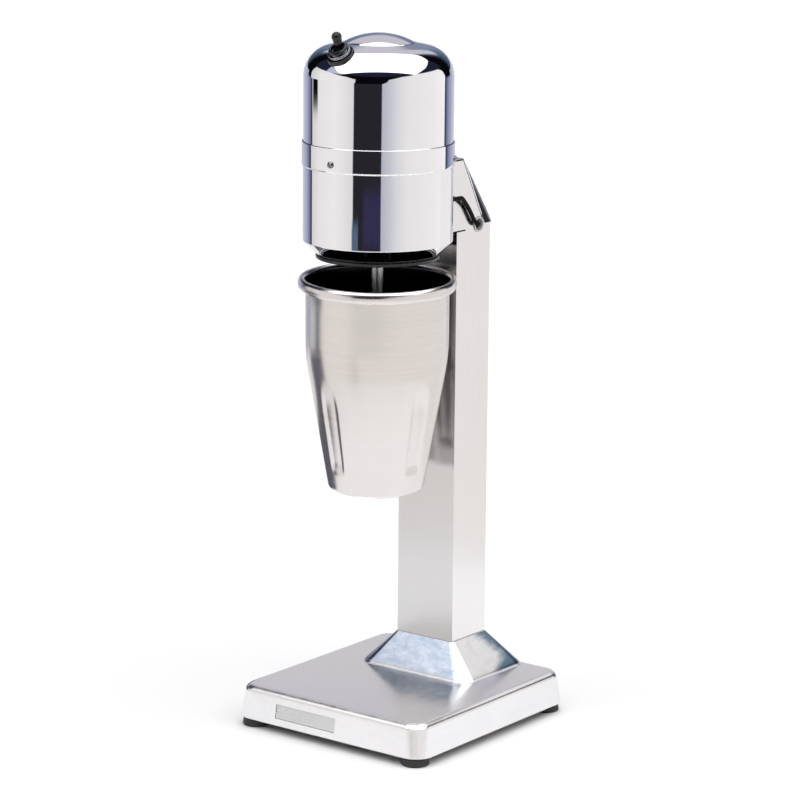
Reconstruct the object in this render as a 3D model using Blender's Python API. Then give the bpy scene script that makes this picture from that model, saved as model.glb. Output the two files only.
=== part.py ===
"""Single-spindle milkshake mixer: a domed motor head on a rectangular column,
a cast base with four rubber feet, and a stainless cup hung under the spindle.

Metres, +Z up. The front faces -Y and +X is on the right seen from the front.
The origin is on the ground at the centre of the base.
"""
import math

import bmesh
import bpy
from mathutils import Matrix, Quaternion, Vector

# ------------------------------------------------------------------ driving dimensions
GAP = 0.0003                    # clearance between pieces that touch
SHEET = 0.0009                  # wall of the spun and pressed housings
RUNNING_GAP = 0.0003            # clearance round the turning shaft

FOOT_RADIUS = 0.0098
FOOT_INSET_X = 0.0123           # foot centre to the side of the base
FOOT_INSET_Y = 0.0112           # foot centre to the front or back of the base

BASE_WIDTH = 0.1654
BASE_DEPTH = 0.1772
BASE_UNDERSIDE = 0.0060
BASE_TOP = 0.0298
BASE_CORNER = 0.0137
BASE_WALL = 0.0035
BASE_DRAFT = 0.0030             # the sides lean in this much from bottom to top
BASE_CEILING = 0.0258           # roof of the hollow under the base
DRAFT_BOTTOM = 0.0068           # the drafted part of the sides
DRAFT_TOP = 0.0256
BASE_PLATE_BOTTOM = 0.0072
BASE_PLATE_THICK = 0.0012

COLUMN_WIDTH = 0.0488
COLUMN_FRONT = 0.0258
COLUMN_BACK = 0.0650
COLUMN_WALL = 0.0020
COLUMN_FOOT = 0.0322            # lower end of the tube, inside the socket
COLUMN_SHOULDER = 0.3489        # top of the tube's front wall
SLIT_HEIGHT = 0.0010            # slit under the two cheeks
SLIT_BACK = 0.0358
CHEEK_FRONT = 0.0146
CHEEK_TOP = 0.3986
SOCKET_TOP = 0.0536

COVER_THICK = 0.0012
COVER_TOP = 0.4001
COVER_BEND_Y = 0.0330           # where the cover's flat top turns into its slope
COVER_HEEL_Y = 0.0668           # lower end of the slope, behind the column
COVER_HEEL_Z = 0.3534
COVER_END_Z = 0.3520
WING_FRONT = 0.0571             # lower front corner of the cover's side wings

HOUSING_Y = -0.0321             # the motor and spindle axis stands at x = 0
HOUSING_RADIUS = 0.0513
NOTCH_BOTTOM = 0.3400           # heights that clear the housing when it is cut out of a piece
NOTCH_TOP = 0.4100
BAND_RADIUS = 0.0521
DOME_RADIUS = 0.0511
CHAMFER_RADIUS = 0.0417
HOUSING_BOTTOM = 0.3393
CHAMFER_TOP = 0.3489
BAND_BOTTOM = 0.4010
BAND_TOP = 0.4169
SHOULDER_Z = 0.4610             # where the dome's side turns into its shoulder
SHOULDER_RADIUS = 0.0210
CROWN_RADIUS = 0.0245
CROWN_BASE_Z = 0.4836
APEX_Z = 0.4900

SHAFT_RADIUS = 0.0040
SHAFT_TOP = 0.4340
SHAFT_STEP = 0.2140             # below this the shaft is a thinner threaded end
SHAFT_END = 0.2056
THREAD_RADIUS = 0.0030
BOLT_OFFSET = 0.0448            # motor bolts, sideways from the axis

CUP_TILT = math.radians(2.0)    # the hung cup leans its rim this much
CUP_TILT_TOWARDS = math.radians(37.0)   # ... towards here, turning from the front to the right
RIM_Z = 0.3206                  # the cup's datum, near the middle of its rolled rim
RIM_CENTRE_RADIUS = 0.0520
RIM_CENTRE_DROP = 0.0015
RIM_HALF_WIDTH = 0.0027
RIM_HALF_HEIGHT = 0.0042
RIM_FLARE = 0.0095              # the wall leans out to the rim from this far below the datum
RIM_SHEET = 0.0008
CUP_RADIUS = 0.0494
CUP_WALL = 0.0010
CUP_DEPTH = 0.1466              # rim centre to the underside of the cup
CUP_STRAIGHT = 0.0400           # straight wall below the rim centre
CUP_KNEE_RADIUS = 0.1400
CUP_TAPER = math.radians(9.8)
CUP_CORNER = 0.0030

HANGER_FACE = 0.0240            # front of the hanger plate
HANGER_HALF_WIDTH = 0.0090
HANGER_BOTTOM = 0.2660
LEDGE_TOP = 0.3164
PAD_Z = 0.2760

SWITCH_RADIUS = 0.0418          # switch axis, out from the housing axis on the shoulder
SWITCH_BORE = 0.0062
LEVER_THROW = math.radians(14.0)
LEVER_PIVOT_DEPTH = 0.0006

LEAD_RADIUS = 0.0016
LEAD_EXIT_ANGLE = math.radians(55.0)
LEAD_EXIT_Z = 0.3746
LEAD_HOLE = (0.0510, 0.3518)    # where the lead enters the column's side: y and z
GLAND_Z = 0.0820

BIG_ROUND = 36
MIDDLE_ROUND = 20
SMALL_ROUND = 10


# ------------------------------------------------------------------ helpers
def clear_scene():
    for item in list(bpy.data.objects):
        bpy.data.objects.remove(item, do_unlink=True)


def make_material(name, colour, roughness, metallic):
    material = bpy.data.materials.new(name)
    material.use_nodes = True
    shader = material.node_tree.nodes["Principled BSDF"]
    shader.inputs["Base Color"].default_value = (*colour, 1.0)
    shader.inputs["Roughness"].default_value = roughness
    shader.inputs["Metallic"].default_value = metallic
    material.diffuse_color = (*colour, 1.0)
    return material


def make_empty(name, location, tilt_axis=(1.0, 0.0, 0.0), tilt=0.0):
    empty = bpy.data.objects.new(name, None)
    bpy.context.scene.collection.objects.link(empty)
    empty.location = location
    empty.rotation_mode = "QUATERNION"
    empty.rotation_quaternion = Quaternion(tilt_axis, tilt)
    return empty


def make_object(name, bm, material, parent=None, location=(0.0, 0.0, 0.0)):
    """Turn a bmesh into a named object, with smooth round faces and sharp edges."""
    bmesh.ops.recalc_face_normals(bm, faces=bm.faces)
    mesh = bpy.data.meshes.new(name)
    bm.to_mesh(mesh)
    bm.free()
    mesh.shade_smooth()
    mesh.set_sharp_from_angle(angle=math.radians(35.0))
    if material is not None:
        mesh.materials.append(material)
    item = bpy.data.objects.new(name, mesh)
    bpy.context.scene.collection.objects.link(item)
    item.parent = parent
    item.location = location
    return item


def point_z_along(item, direction):
    item.rotation_mode = "QUATERNION"
    item.rotation_quaternion = Vector((0.0, 0.0, 1.0)).rotation_difference(Vector(direction))


def boolean(target, tool, operation="DIFFERENCE"):
    modifier = target.modifiers.new(tool.name, "BOOLEAN")
    modifier.object = tool
    modifier.operation = operation
    tool.hide_render = True
    tool.display_type = "WIRE"


def oval(centre_a, centre_b, half_a, half_b, start, end, steps):
    """Points on an oval in a profile's plane, both ends included; angles in degrees."""
    points = []
    for step in range(steps + 1):
        angle = math.radians(start + (end - start) * step / steps)
        points.append((centre_a + half_a * math.cos(angle), centre_b + half_b * math.sin(angle)))
    return points


def arc(centre_a, centre_b, radius, start, end, steps):
    return oval(centre_a, centre_b, radius, radius, start, end, steps)


def turned_mesh(profile, segments):
    """Spin a closed (radius, z) outline about the Z axis."""
    bm = bmesh.new()
    verts = [bm.verts.new((radius, 0.0, z)) for radius, z in profile]
    edges = []
    for first, second in zip(verts, verts[1:] + verts[:1]):
        if first.co.x > 1e-9 or second.co.x > 1e-9:
            edges.append(bm.edges.new((first, second)))
    bmesh.ops.spin(bm, geom=verts + edges, cent=(0.0, 0.0, 0.0), axis=(0.0, 0.0, 1.0),
                   angle=2.0 * math.pi, steps=segments, use_merge=True)
    bmesh.ops.remove_doubles(bm, verts=bm.verts, dist=1e-7)
    return bm


def turned(name, profile, segments, material, parent=None, location=(0.0, 0.0, 0.0)):
    return make_object(name, turned_mesh(profile, segments), material, parent, location)


def ring_profile(inner, outer, bottom, top):
    return [(inner, bottom), (outer, bottom), (outer, top), (inner, top)]


def prism_mesh(outline, low, high, axis="Z"):
    """Extrude a flat outline; axis Z takes (x, y) points and axis X takes (y, z) points."""
    bm = bmesh.new()
    if axis == "Z":
        base = [bm.verts.new((a, b, low)) for a, b in outline]
        travel = Vector((0.0, 0.0, high - low))
    else:
        base = [bm.verts.new((low, a, b)) for a, b in outline]
        travel = Vector((high - low, 0.0, 0.0))
    face = bm.faces.new(base)
    extruded = bmesh.ops.extrude_face_region(bm, geom=[face])
    moved = [item for item in extruded["geom"] if isinstance(item, bmesh.types.BMVert)]
    bmesh.ops.translate(bm, vec=travel, verts=moved)
    return bm


def prism(name, outline, low, high, material, axis="Z", parent=None):
    return make_object(name, prism_mesh(outline, low, high, axis), material, parent)


def box(name, low, high, material, parent=None, location=(0.0, 0.0, 0.0)):
    outline = [(low[0], low[1]), (high[0], low[1]), (high[0], high[1]), (low[0], high[1])]
    return make_object(name, prism_mesh(outline, low[2], high[2]), material, parent, location)


def cylinder_tool(name, radius, start, end, segments=MIDDLE_ROUND, parent=None):
    """A plain cylinder between two points, used to cut a hole."""
    start = Vector(start)
    end = Vector(end)
    turn = Vector((0.0, 0.0, 1.0)).rotation_difference(end - start).to_matrix().to_4x4()
    bm = bmesh.new()
    bmesh.ops.create_cone(bm, cap_ends=True, segments=segments, radius1=radius, radius2=radius,
                          depth=(end - start).length,
                          matrix=Matrix.Translation((start + end) / 2.0) @ turn)
    return make_object(name, bm, None, parent)


def drill(target, radius, start, end, segments=MIDDLE_ROUND, parent=None):
    name = "cut_{}_{}".format(target.name, len(target.modifiers) + 1)
    boolean(target, cylinder_tool(name, radius, start, end, segments, parent))


def rounded_rectangle(centre, half_x, half_y, corner, steps):
    """Outline of a rectangle with round corners, anticlockwise from the back right corner."""
    points = []
    for index, (side_x, side_y) in enumerate(((1, 1), (-1, 1), (-1, -1), (1, -1))):
        points += arc(centre[0] + side_x * (half_x - corner), centre[1] + side_y * (half_y - corner),
                      corner, 90.0 * index, 90.0 * (index + 1), steps)
    return points


def loft_mesh(rings):
    """Skin a stack of outlines with equal point counts; each ring is (points, z)."""
    bm = bmesh.new()
    rows = [[bm.verts.new((x, y, z)) for x, y in points] for points, z in rings]
    for lower, upper in zip(rows, rows[1:]):
        count = len(lower)
        for index in range(count):
            after = (index + 1) % count
            bm.faces.new((lower[index], lower[after], upper[after], upper[index]))
    bm.faces.new(list(reversed(rows[0])))
    bm.faces.new(rows[-1])
    return bm


def screw(name, position, direction, head_radius, head_height, shank_radius, length, material):
    """A round-headed screw whose head stands out along direction from position."""
    profile = [(0.0, -length), (shank_radius, -length), (shank_radius, 0.0), (head_radius, 0.0),
               (head_radius, head_height * 0.55), (head_radius * 0.72, head_height),
               (0.0, head_height)]
    item = turned(name, profile, SMALL_ROUND, material, location=position)
    point_z_along(item, direction)
    return item


# ------------------------------------------------------------------ base
def base_outline(inset, steps=5):
    return rounded_rectangle((0.0, 0.0), BASE_WIDTH / 2 - inset, BASE_DEPTH / 2 - inset,
                             BASE_CORNER - inset * 0.6, steps)


def socket_ring(half_x, front, back, corner, z):
    centre = (0.0, (front + back) / 2)
    return rounded_rectangle(centre, half_x, (back - front) / 2, corner, 4), z


def foot_places():
    x = BASE_WIDTH / 2 - FOOT_INSET_X
    y = BASE_DEPTH / 2 - FOOT_INSET_Y
    return {"front_left": (-x, -y), "front_right": (x, -y), "rear_left": (-x, y), "rear_right": (x, y)}


def front_face_y(z):
    """Where the base's drafted front face stands at this height."""
    return -BASE_DEPTH / 2 + BASE_DRAFT * (z - DRAFT_BOTTOM) / (DRAFT_TOP - DRAFT_BOTTOM)


def badge_outline(low, high, outer, inner):
    """A strip along the front face in (y, z), between two depths behind it."""
    return [(front_face_y(low) + outer, low), (front_face_y(high) + outer, high),
            (front_face_y(high) + inner, high), (front_face_y(low) + inner, low)]


def make_base(mats):
    skin = [(0.0006, BASE_UNDERSIDE), (0.0, DRAFT_BOTTOM), (BASE_DRAFT, DRAFT_TOP),
            (BASE_DRAFT + 0.0006, BASE_TOP - 0.0022), (BASE_DRAFT + 0.0018, BASE_TOP - 0.0008),
            (BASE_DRAFT + 0.0038, BASE_TOP)]
    casting = make_object("base_casting", loft_mesh([(base_outline(i), z) for i, z in skin]),
                          mats["cast_aluminium"])
    socket = make_object("cut_socket", loft_mesh([
        socket_ring(0.0492, 0.0098, 0.0845, 0.0100, BASE_TOP - 0.0020),
        socket_ring(0.0492, 0.0098, 0.0845, 0.0100, BASE_TOP + 0.0002),
        socket_ring(0.0472, 0.0112, 0.0830, 0.0092, BASE_TOP + 0.0012),
        socket_ring(0.0254, 0.0246, 0.0662, 0.0016, SOCKET_TOP)]), None)
    boolean(casting, socket, "UNION")

    hollow = make_object("cut_base_hollow", loft_mesh([
        (base_outline(BASE_WALL), BASE_UNDERSIDE - 0.0010),
        (base_outline(BASE_WALL + BASE_DRAFT), BASE_CEILING)]), None)
    for label, (x, y) in foot_places().items():
        boolean(hollow, cylinder_tool("cut_post_" + label, 0.0045,
                                      (x, y, BASE_PLATE_BOTTOM + BASE_PLATE_THICK + GAP),
                                      (x, y, BASE_TOP), SMALL_ROUND))
    boolean(casting, hollow)
    pocket = box("cut_pocket", (-COLUMN_WIDTH / 2 - GAP, COLUMN_FRONT - GAP, COLUMN_FOOT - GAP),
                 (COLUMN_WIDTH / 2 + GAP, COLUMN_BACK + GAP, SOCKET_TOP + 0.0100), None)
    boolean(casting, pocket)
    for label, (x, y) in foot_places().items():
        drill(casting, 0.0018, (x, y, BASE_UNDERSIDE), (x, y, 0.0200), SMALL_ROUND)
    for y in column_bolt_rows():
        drill(casting, 0.0029, (0.0, y, BASE_CEILING - 0.0020), (0.0, y, COLUMN_FOOT + 0.0020), SMALL_ROUND)

    badge_half, badge_low, badge_high = 0.0260, 0.0118, 0.0212
    badge_x = -0.0185
    seat = badge_outline(badge_low - GAP, badge_high + GAP, -0.0020, 0.0014)
    boolean(casting, prism("cut_badge", seat, badge_x - badge_half - GAP, badge_x + badge_half + GAP,
                           None, axis="X"))
    prism("badge_plate", badge_outline(badge_low, badge_high, 0.0002, 0.0011), badge_x - badge_half,
          badge_x + badge_half, mats["badge"], axis="X")

    plate_top = BASE_PLATE_BOTTOM + BASE_PLATE_THICK
    plate = make_object("base_cover_plate", loft_mesh([
        (base_outline(BASE_WALL + 0.0009, 3), BASE_PLATE_BOTTOM),
        (base_outline(BASE_WALL + 0.0009, 3), plate_top)]), mats["dark_steel"])
    for label, (x, y) in foot_places().items():
        drill(plate, 0.0018, (x, y, 0.0), (x, y, 0.0200), SMALL_ROUND)
        make_foot(label, x, y, mats)


def make_foot(label, x, y, mats):
    rim = BASE_UNDERSIDE - GAP
    spigot = BASE_PLATE_BOTTOM - GAP
    profile = [(0.0055, 0.0), (FOOT_RADIUS - 0.0006, 0.0), (FOOT_RADIUS, 0.0008),
               (FOOT_RADIUS - 0.0006, rim), (0.0062, rim), (0.0062, spigot), (0.0018, spigot),
               (0.0018, 0.0026), (0.0055, 0.0026)]
    turned("foot_" + label, profile, 14, mats["rubber"], location=(x, y, 0.0))
    screw("foot_screw_" + label, (x, y, 0.0026 - GAP), (0.0, 0.0, -1.0), 0.0034, 0.0013, 0.0015,
          0.0150, mats["zinc"])


# ------------------------------------------------------------------ column
def column_bolt_rows():
    return (0.0370, 0.0540)


def slope_point(depth, height):
    """The y where the cover's outer slope, moved inwards by depth, stands at this height."""
    run = COVER_HEEL_Y - COVER_BEND_Y
    drop = COVER_TOP - COVER_HEEL_Z
    length = math.hypot(run, drop)
    start_y = COVER_BEND_Y - depth * drop / length
    start_z = COVER_TOP - depth * run / length
    return start_y + (start_z - height) * run / drop


def slope_height(depth, y):
    """The height where the same line reaches this y."""
    run = COVER_HEEL_Y - COVER_BEND_Y
    drop = COVER_TOP - COVER_HEEL_Z
    return COVER_TOP - (y - slope_point(depth, COVER_TOP)) * drop / run


def make_column(mats):
    slit_top = COLUMN_SHOULDER + SLIT_HEIGHT
    cheek_inset = COVER_THICK + GAP
    side = [(COLUMN_FRONT, COLUMN_FOOT), (COLUMN_BACK, COLUMN_FOOT),
            (COLUMN_BACK, slope_height(cheek_inset, COLUMN_BACK)),
            (slope_point(cheek_inset, CHEEK_TOP), CHEEK_TOP), (CHEEK_FRONT, CHEEK_TOP),
            (CHEEK_FRONT, slit_top), (SLIT_BACK, slit_top), (SLIT_BACK, COLUMN_SHOULDER),
            (COLUMN_FRONT, COLUMN_SHOULDER)]
    half = COLUMN_WIDTH / 2
    tube = prism("column_tube", side, -half, half, mats["satin_aluminium"], axis="X")
    inner_front = COLUMN_FRONT + COLUMN_WALL
    inner_back = COLUMN_BACK - COLUMN_WALL
    above = CHEEK_TOP + 0.0200
    bore = [(inner_front, COLUMN_FOOT - 0.0100), (inner_back, COLUMN_FOOT - 0.0100),
            (inner_back, above), (CHEEK_FRONT - 0.0050, above),
            (CHEEK_FRONT - 0.0050, COLUMN_SHOULDER + SLIT_HEIGHT / 2),
            (inner_front, COLUMN_SHOULDER + SLIT_HEIGHT / 2)]
    inner_half = half - COLUMN_WALL
    boolean(tube, prism("cut_column_bore", bore, -inner_half, inner_half, None, axis="X"))
    hole_y, hole_z = LEAD_HOLE
    drill(tube, 0.0051, (half - 0.0050, hole_y, hole_z), (half + 0.0050, hole_y, hole_z), SMALL_ROUND)
    drill(tube, 0.0062, (0.0, COLUMN_BACK - 0.0050, GLAND_Z), (0.0, COLUMN_BACK + 0.0050, GLAND_Z),
          SMALL_ROUND)
    for z in hanger_screw_heights():
        drill(tube, 0.0016, (0.0, COLUMN_FRONT - 0.0020, z), (0.0, COLUMN_FRONT + 0.0040, z), SMALL_ROUND)

    anchor = box("column_anchor", (-inner_half + 0.0004, inner_front + 0.0004, COLUMN_FOOT),
                 (inner_half - 0.0004, inner_back - 0.0004, COLUMN_FOOT + 0.0080), mats["zinc"])
    for label, y in zip(("front", "rear"), column_bolt_rows()):
        drill(anchor, 0.0029, (0.0, y, COLUMN_FOOT - 0.0100), (0.0, y, COLUMN_FOOT + 0.0200), SMALL_ROUND)
        screw("column_bolt_" + label, (0.0, y, BASE_CEILING - GAP), (0.0, 0.0, -1.0), 0.0050, 0.0045,
              0.0025, 0.0125, mats["zinc"])

    gland = [(0.0036, -0.0045), (0.0057, -0.0045), (0.0057, GAP), (0.0086, GAP), (0.0086, 0.0050),
             (0.0070, 0.0056), (0.0068, 0.0104), (0.0052, 0.0128), (0.0036, 0.0128)]
    fitting = turned("cable_gland", gland, 16, mats["black_plastic"], location=(0.0, COLUMN_BACK, GLAND_Z))
    point_z_along(fitting, (0.0, 1.0, 0.0))

    collar = [(0.0043, -0.0026), (0.0048, -0.0026), (0.0048, GAP), (0.0056, GAP), (0.0052, 0.0009),
              (0.0043, 0.0009)]
    grommet = turned("lead_grommet_column", collar, 14, mats["rubber"], location=(half, hole_y, hole_z))
    point_z_along(grommet, (1.0, 0.0, 0.0))


def make_head(mats):
    half = COLUMN_WIDTH / 2 + GAP + 0.0008
    underside = COVER_TOP - COVER_THICK
    outer = [(WING_FRONT, COVER_END_Z), (COVER_HEEL_Y, COVER_END_Z), (COVER_HEEL_Y, COVER_HEEL_Z),
             (COVER_BEND_Y, COVER_TOP), (CHEEK_FRONT, COVER_TOP), (CHEEK_FRONT, underside),
             (slope_point(COVER_THICK, underside), underside)]
    cover = prism("head_cover", outer, -half, half, mats["chrome"], axis="X")
    inner_half = COLUMN_WIDTH / 2 + GAP
    lip_y = COLUMN_BACK + GAP
    inner = [(CHEEK_FRONT - 0.0050, COVER_END_Z - 0.0100), (lip_y, COVER_END_Z - 0.0100),
             (lip_y, slope_height(COVER_THICK, lip_y)), (slope_point(COVER_THICK, underside), underside),
             (CHEEK_FRONT - 0.0050, underside)]
    boolean(cover, prism("cut_cover_inside", inner, -inner_half, inner_half, None, axis="X"))
    boolean(cover, cylinder_tool("cut_cover_front", HOUSING_RADIUS + 0.0004,
                                 (0.0, HOUSING_Y, NOTCH_BOTTOM), (0.0, HOUSING_Y, NOTCH_TOP), BIG_ROUND))

    block_half = COLUMN_WIDTH / 2 - COLUMN_WALL - 0.0004
    block_low, block_high, block_back = 0.3525, 0.3970, 0.0300
    block = box("head_block", (-block_half, HOUSING_Y + 0.0400, block_low),
                (block_half, block_back, block_high), mats["cast_aluminium"])
    boolean(block, cylinder_tool("cut_block_saddle", HOUSING_RADIUS + GAP,
                                 (0.0, HOUSING_Y, NOTCH_BOTTOM), (0.0, HOUSING_Y, NOTCH_TOP), BIG_ROUND))
    for label, z in mount_bolts().items():
        drill(block, 0.0023, (0.0, 0.0, z), (0.0, 0.0500, z), SMALL_ROUND)
        screw("mount_bolt_" + label, (0.0, block_back + GAP, z), (0.0, 1.0, 0.0), 0.0040, 0.0034,
              0.0020, 0.0180, mats["zinc"])
    screw_y = 0.0255
    for part in (cover, block):
        drill(part, 0.0018, (0.0, screw_y, 0.3920), (0.0, screw_y, 0.4100), SMALL_ROUND)
    screw("cover_screw", (0.0, screw_y, COVER_TOP + GAP), (0.0, 0.0, 1.0), 0.0028, 0.0014, 0.0014,
          0.0075, mats["zinc"])


def mount_bolts():
    return {"upper": 0.3880, "lower": 0.3640}


# ------------------------------------------------------------------ cup hanger
def hanger_screw_heights():
    return (0.3080, 0.2920)


def make_hanger(mats):
    back = COLUMN_FRONT - GAP
    lip_front, lip_back, lip_top = 0.0184, 0.0195, 0.3218
    ledge_bottom = LEDGE_TOP - 0.0015
    hook = [(back, HANGER_BOTTOM), (back, LEDGE_TOP), (lip_back, LEDGE_TOP), (lip_back, lip_top),
            (lip_front, lip_top), (lip_front, ledge_bottom), (HANGER_FACE, ledge_bottom),
            (HANGER_FACE, HANGER_BOTTOM)]
    hanger = prism("cup_hanger", hook, -HANGER_HALF_WIDTH, HANGER_HALF_WIDTH, mats["steel"], axis="X")
    for label, z in zip(("upper", "lower"), hanger_screw_heights()):
        drill(hanger, 0.0016, (0.0, 0.0200, z), (0.0, 0.0300, z), SMALL_ROUND)
        screw("hanger_screw_" + label, (0.0, HANGER_FACE - GAP, z), (0.0, -1.0, 0.0), 0.0028, 0.0013,
              0.0013, 0.0090, mats["zinc"])
    pad = [(0.0, 0.0), (0.0070, 0.0), (0.0070, 0.0033), (0.0058, 0.0048), (0.0, 0.0048)]
    rest = turned("cup_rest_pad", pad, 16, mats["rubber"], location=(0.0, HANGER_FACE - GAP, PAD_Z))
    point_z_along(rest, (0.0, -1.0, 0.0))


# ------------------------------------------------------------------ housing
def dome_profile(inset, shoulder_steps, crown_steps):
    """The dome's outer line from the skirt to the apex, moved inwards by inset."""
    side = DOME_RADIUS - inset
    centre = DOME_RADIUS - SHOULDER_RADIUS
    points = arc(centre, SHOULDER_Z, SHOULDER_RADIUS - inset, 0.0, 79.0, shoulder_steps)
    points[0] = (side, SHOULDER_Z)
    rise = APEX_Z - CROWN_BASE_Z
    crown = (CROWN_RADIUS ** 2 + rise ** 2) / (2.0 * rise)
    spread = math.degrees(math.asin(CROWN_RADIUS / crown))
    points += arc(0.0, APEX_Z - crown, crown - inset, 90.0 - spread, 90.0, crown_steps)
    points[-1] = (0.0, APEX_Z - inset)
    return points


def make_housing(mats, axis):
    bottom = HOUSING_BOTTOM
    flange_top = bottom + SHEET
    inner = HOUSING_RADIUS - SHEET
    band_inner = BAND_RADIUS - 0.0007
    profile = [(0.0360, bottom), (CHAMFER_RADIUS, bottom), (HOUSING_RADIUS, CHAMFER_TOP),
               (HOUSING_RADIUS, BAND_BOTTOM - 0.0008), (BAND_RADIUS, BAND_BOTTOM),
               (BAND_RADIUS, BAND_TOP), (band_inner, BAND_TOP), (band_inner, BAND_BOTTOM + 0.0006),
               (inner, BAND_BOTTOM - 0.0002), (inner, CHAMFER_TOP + 0.0004),
               (CHAMFER_RADIUS - 0.0004, flange_top), (0.0360, flange_top)]
    casing = turned("motor_casing", profile, BIG_ROUND, mats["chrome"], axis)

    skirt_end = BAND_BOTTOM + 0.0012
    outer = dome_profile(0.0, 6, 4)
    inner_line = dome_profile(SHEET, 5, 3)
    shell = [(DOME_RADIUS, skirt_end)] + outer + list(reversed(inner_line))
    shell.append((DOME_RADIUS - SHEET, skirt_end))
    dome = turned("dome_cap", shell, BIG_ROUND, mats["chrome"], axis)

    screw_z = 0.4058
    for label, degrees in (("front", -90.0), ("right", 30.0), ("left", 150.0)):
        out = Vector((math.cos(math.radians(degrees)), math.sin(math.radians(degrees)), 0.0))
        centre = Vector((0.0, 0.0, screw_z))
        for shell_part in (casing, dome):
            drill(shell_part, 0.0017, centre + out * 0.0450, centre + out * 0.0560, SMALL_ROUND, axis)
        place = centre + out * (BAND_RADIUS + GAP) + Vector((0.0, HOUSING_Y, 0.0))
        screw("casing_screw_" + label, place, out, 0.0023, 0.0011, 0.0013, 0.0050, mats["zinc"])
    for z in mount_bolts().values():
        drill(casing, 0.0023, (0.0, 0.0400, z), (0.0, 0.0600, z), SMALL_ROUND, axis)

    lead_out = Vector((math.cos(LEAD_EXIT_ANGLE), math.sin(LEAD_EXIT_ANGLE), 0.0))
    height = Vector((0.0, 0.0, LEAD_EXIT_Z))
    drill(casing, 0.0034, height + lead_out * 0.0450, height + lead_out * 0.0560, SMALL_ROUND, axis)
    collar = [(0.0020, -0.0020), (0.0031, -0.0020), (0.0031, GAP), (0.0041, GAP), (0.0038, 0.0012),
              (0.0020, 0.0020)]
    grommet = turned("lead_grommet_casing", collar, 14, mats["rubber"],
                     location=Vector((0.0, HOUSING_Y, 0.0)) + height + lead_out * HOUSING_RADIUS)
    point_z_along(grommet, lead_out)

    hub = [(0.0046, 0.3318), (0.0088, 0.3318), (0.0126, 0.3374), (0.0405, 0.3378), (0.0408, 0.3390),
           (0.0046, 0.3390)]
    turned("splash_plate", hub, BIG_ROUND, mats["black_plastic"], axis)
    return dome


# ------------------------------------------------------------------ motor
def sector(inner, outer, start, end, steps):
    return arc(0.0, 0.0, outer, start, end, steps) + arc(0.0, 0.0, inner, end, start, steps)


def make_motor(mats, axis, spin):
    bore = 0.0062
    seat = 0.0113
    lower = [(bore, 0.3412), (0.0402, 0.3412), (0.0492, 0.3502), (0.0492, 0.3540), (0.0426, 0.3540),
             (0.0426, 0.3617), (0.0380, 0.3617), (0.0380, 0.3540), (seat, 0.3540), (seat, 0.3437),
             (bore, 0.3437)]
    lower_bridge = turned("lower_bearing_bridge", lower, MIDDLE_ROUND, mats["cast_aluminium"], axis)
    turned("lower_bearing", ring_profile(SHAFT_RADIUS + RUNNING_GAP, seat - GAP, 0.3440, 0.3510), 20,
           mats["steel"], axis)
    turned("stator_core", ring_profile(0.0302, 0.0415, 0.3620, 0.3920), MIDDLE_ROUND, mats["lamination"],
           axis)
    for label, middle in (("left", 180.0), ("right", 0.0)):
        prism("field_coil_" + label, sector(0.0245, 0.0295, middle - 52.0, middle + 52.0, 8),
              0.3570, 0.3970, mats["copper"], parent=axis)

    bar_half_x, bar_half_y, bar_low, bar_high = 0.0483, 0.0080, 0.4136, 0.4190
    bar = box("upper_bearing_bridge", (-bar_half_x, -bar_half_y, bar_low),
              (bar_half_x, bar_half_y, bar_high), mats["cast_aluminium"], axis)
    drill(bar, 0.0071, (0.0, 0.0, bar_low - 0.01), (0.0, 0.0, bar_high + 0.01), MIDDLE_ROUND, axis)
    turned("upper_bearing", ring_profile(SHAFT_RADIUS + RUNNING_GAP, 0.0068, bar_low, bar_high), 20,
           mats["steel"], axis)
    for label, side in (("left", -1.0), ("right", 1.0)):
        x = side * BOLT_OFFSET
        drill(bar, 0.0021, (x, 0.0, bar_low - 0.01), (x, 0.0, bar_high + 0.01), SMALL_ROUND, axis)
        drill(lower_bridge, 0.0021, (x, 0.0, 0.3500), (x, 0.0, 0.3600), SMALL_ROUND, axis)
        screw("motor_bolt_" + label, (x, HOUSING_Y, bar_high + GAP), (0.0, 0.0, 1.0), 0.0032, 0.0026,
              0.0017, 0.0690, mats["zinc"])
        inner, outer = sorted((side * 0.0135, side * 0.0300))
        holder = box("brush_holder_" + label, (inner, -0.0055, 0.4025), (outer, 0.0055, 0.4133),
                     mats["brass"], axis)
        slot = box("cut_brush_slot_" + label, (inner - 0.01, -0.0035, 0.4045),
                   (outer + 0.01, 0.0035, 0.4115), None, axis)
        boolean(holder, slot)
        inner, outer = sorted((side * 0.0113, side * 0.0250))
        box("carbon_brush_" + label, (inner, -0.0032, 0.4048), (outer, 0.0032, 0.4112),
            mats["carbon"], axis)

    shaft = [(0.0, SHAFT_END), (THREAD_RADIUS - 0.0006, SHAFT_END), (THREAD_RADIUS, SHAFT_END + 0.0006),
             (THREAD_RADIUS, SHAFT_STEP), (SHAFT_RADIUS, SHAFT_STEP), (SHAFT_RADIUS, SHAFT_TOP - 0.0008),
             (SHAFT_RADIUS - 0.0008, SHAFT_TOP), (0.0, SHAFT_TOP)]
    turned("spindle", shaft, 20, mats["steel"], spin)
    grip = SHAFT_RADIUS + GAP
    turned("rotor_core", ring_profile(grip, 0.0225, 0.3620, 0.3920), MIDDLE_ROUND, mats["lamination"], spin)
    turned("commutator", ring_profile(grip, 0.0110, 0.4000, 0.4125), MIDDLE_ROUND, mats["copper"], spin)
    make_fan(mats, spin, grip)
    make_agitator(mats, spin)


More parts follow.
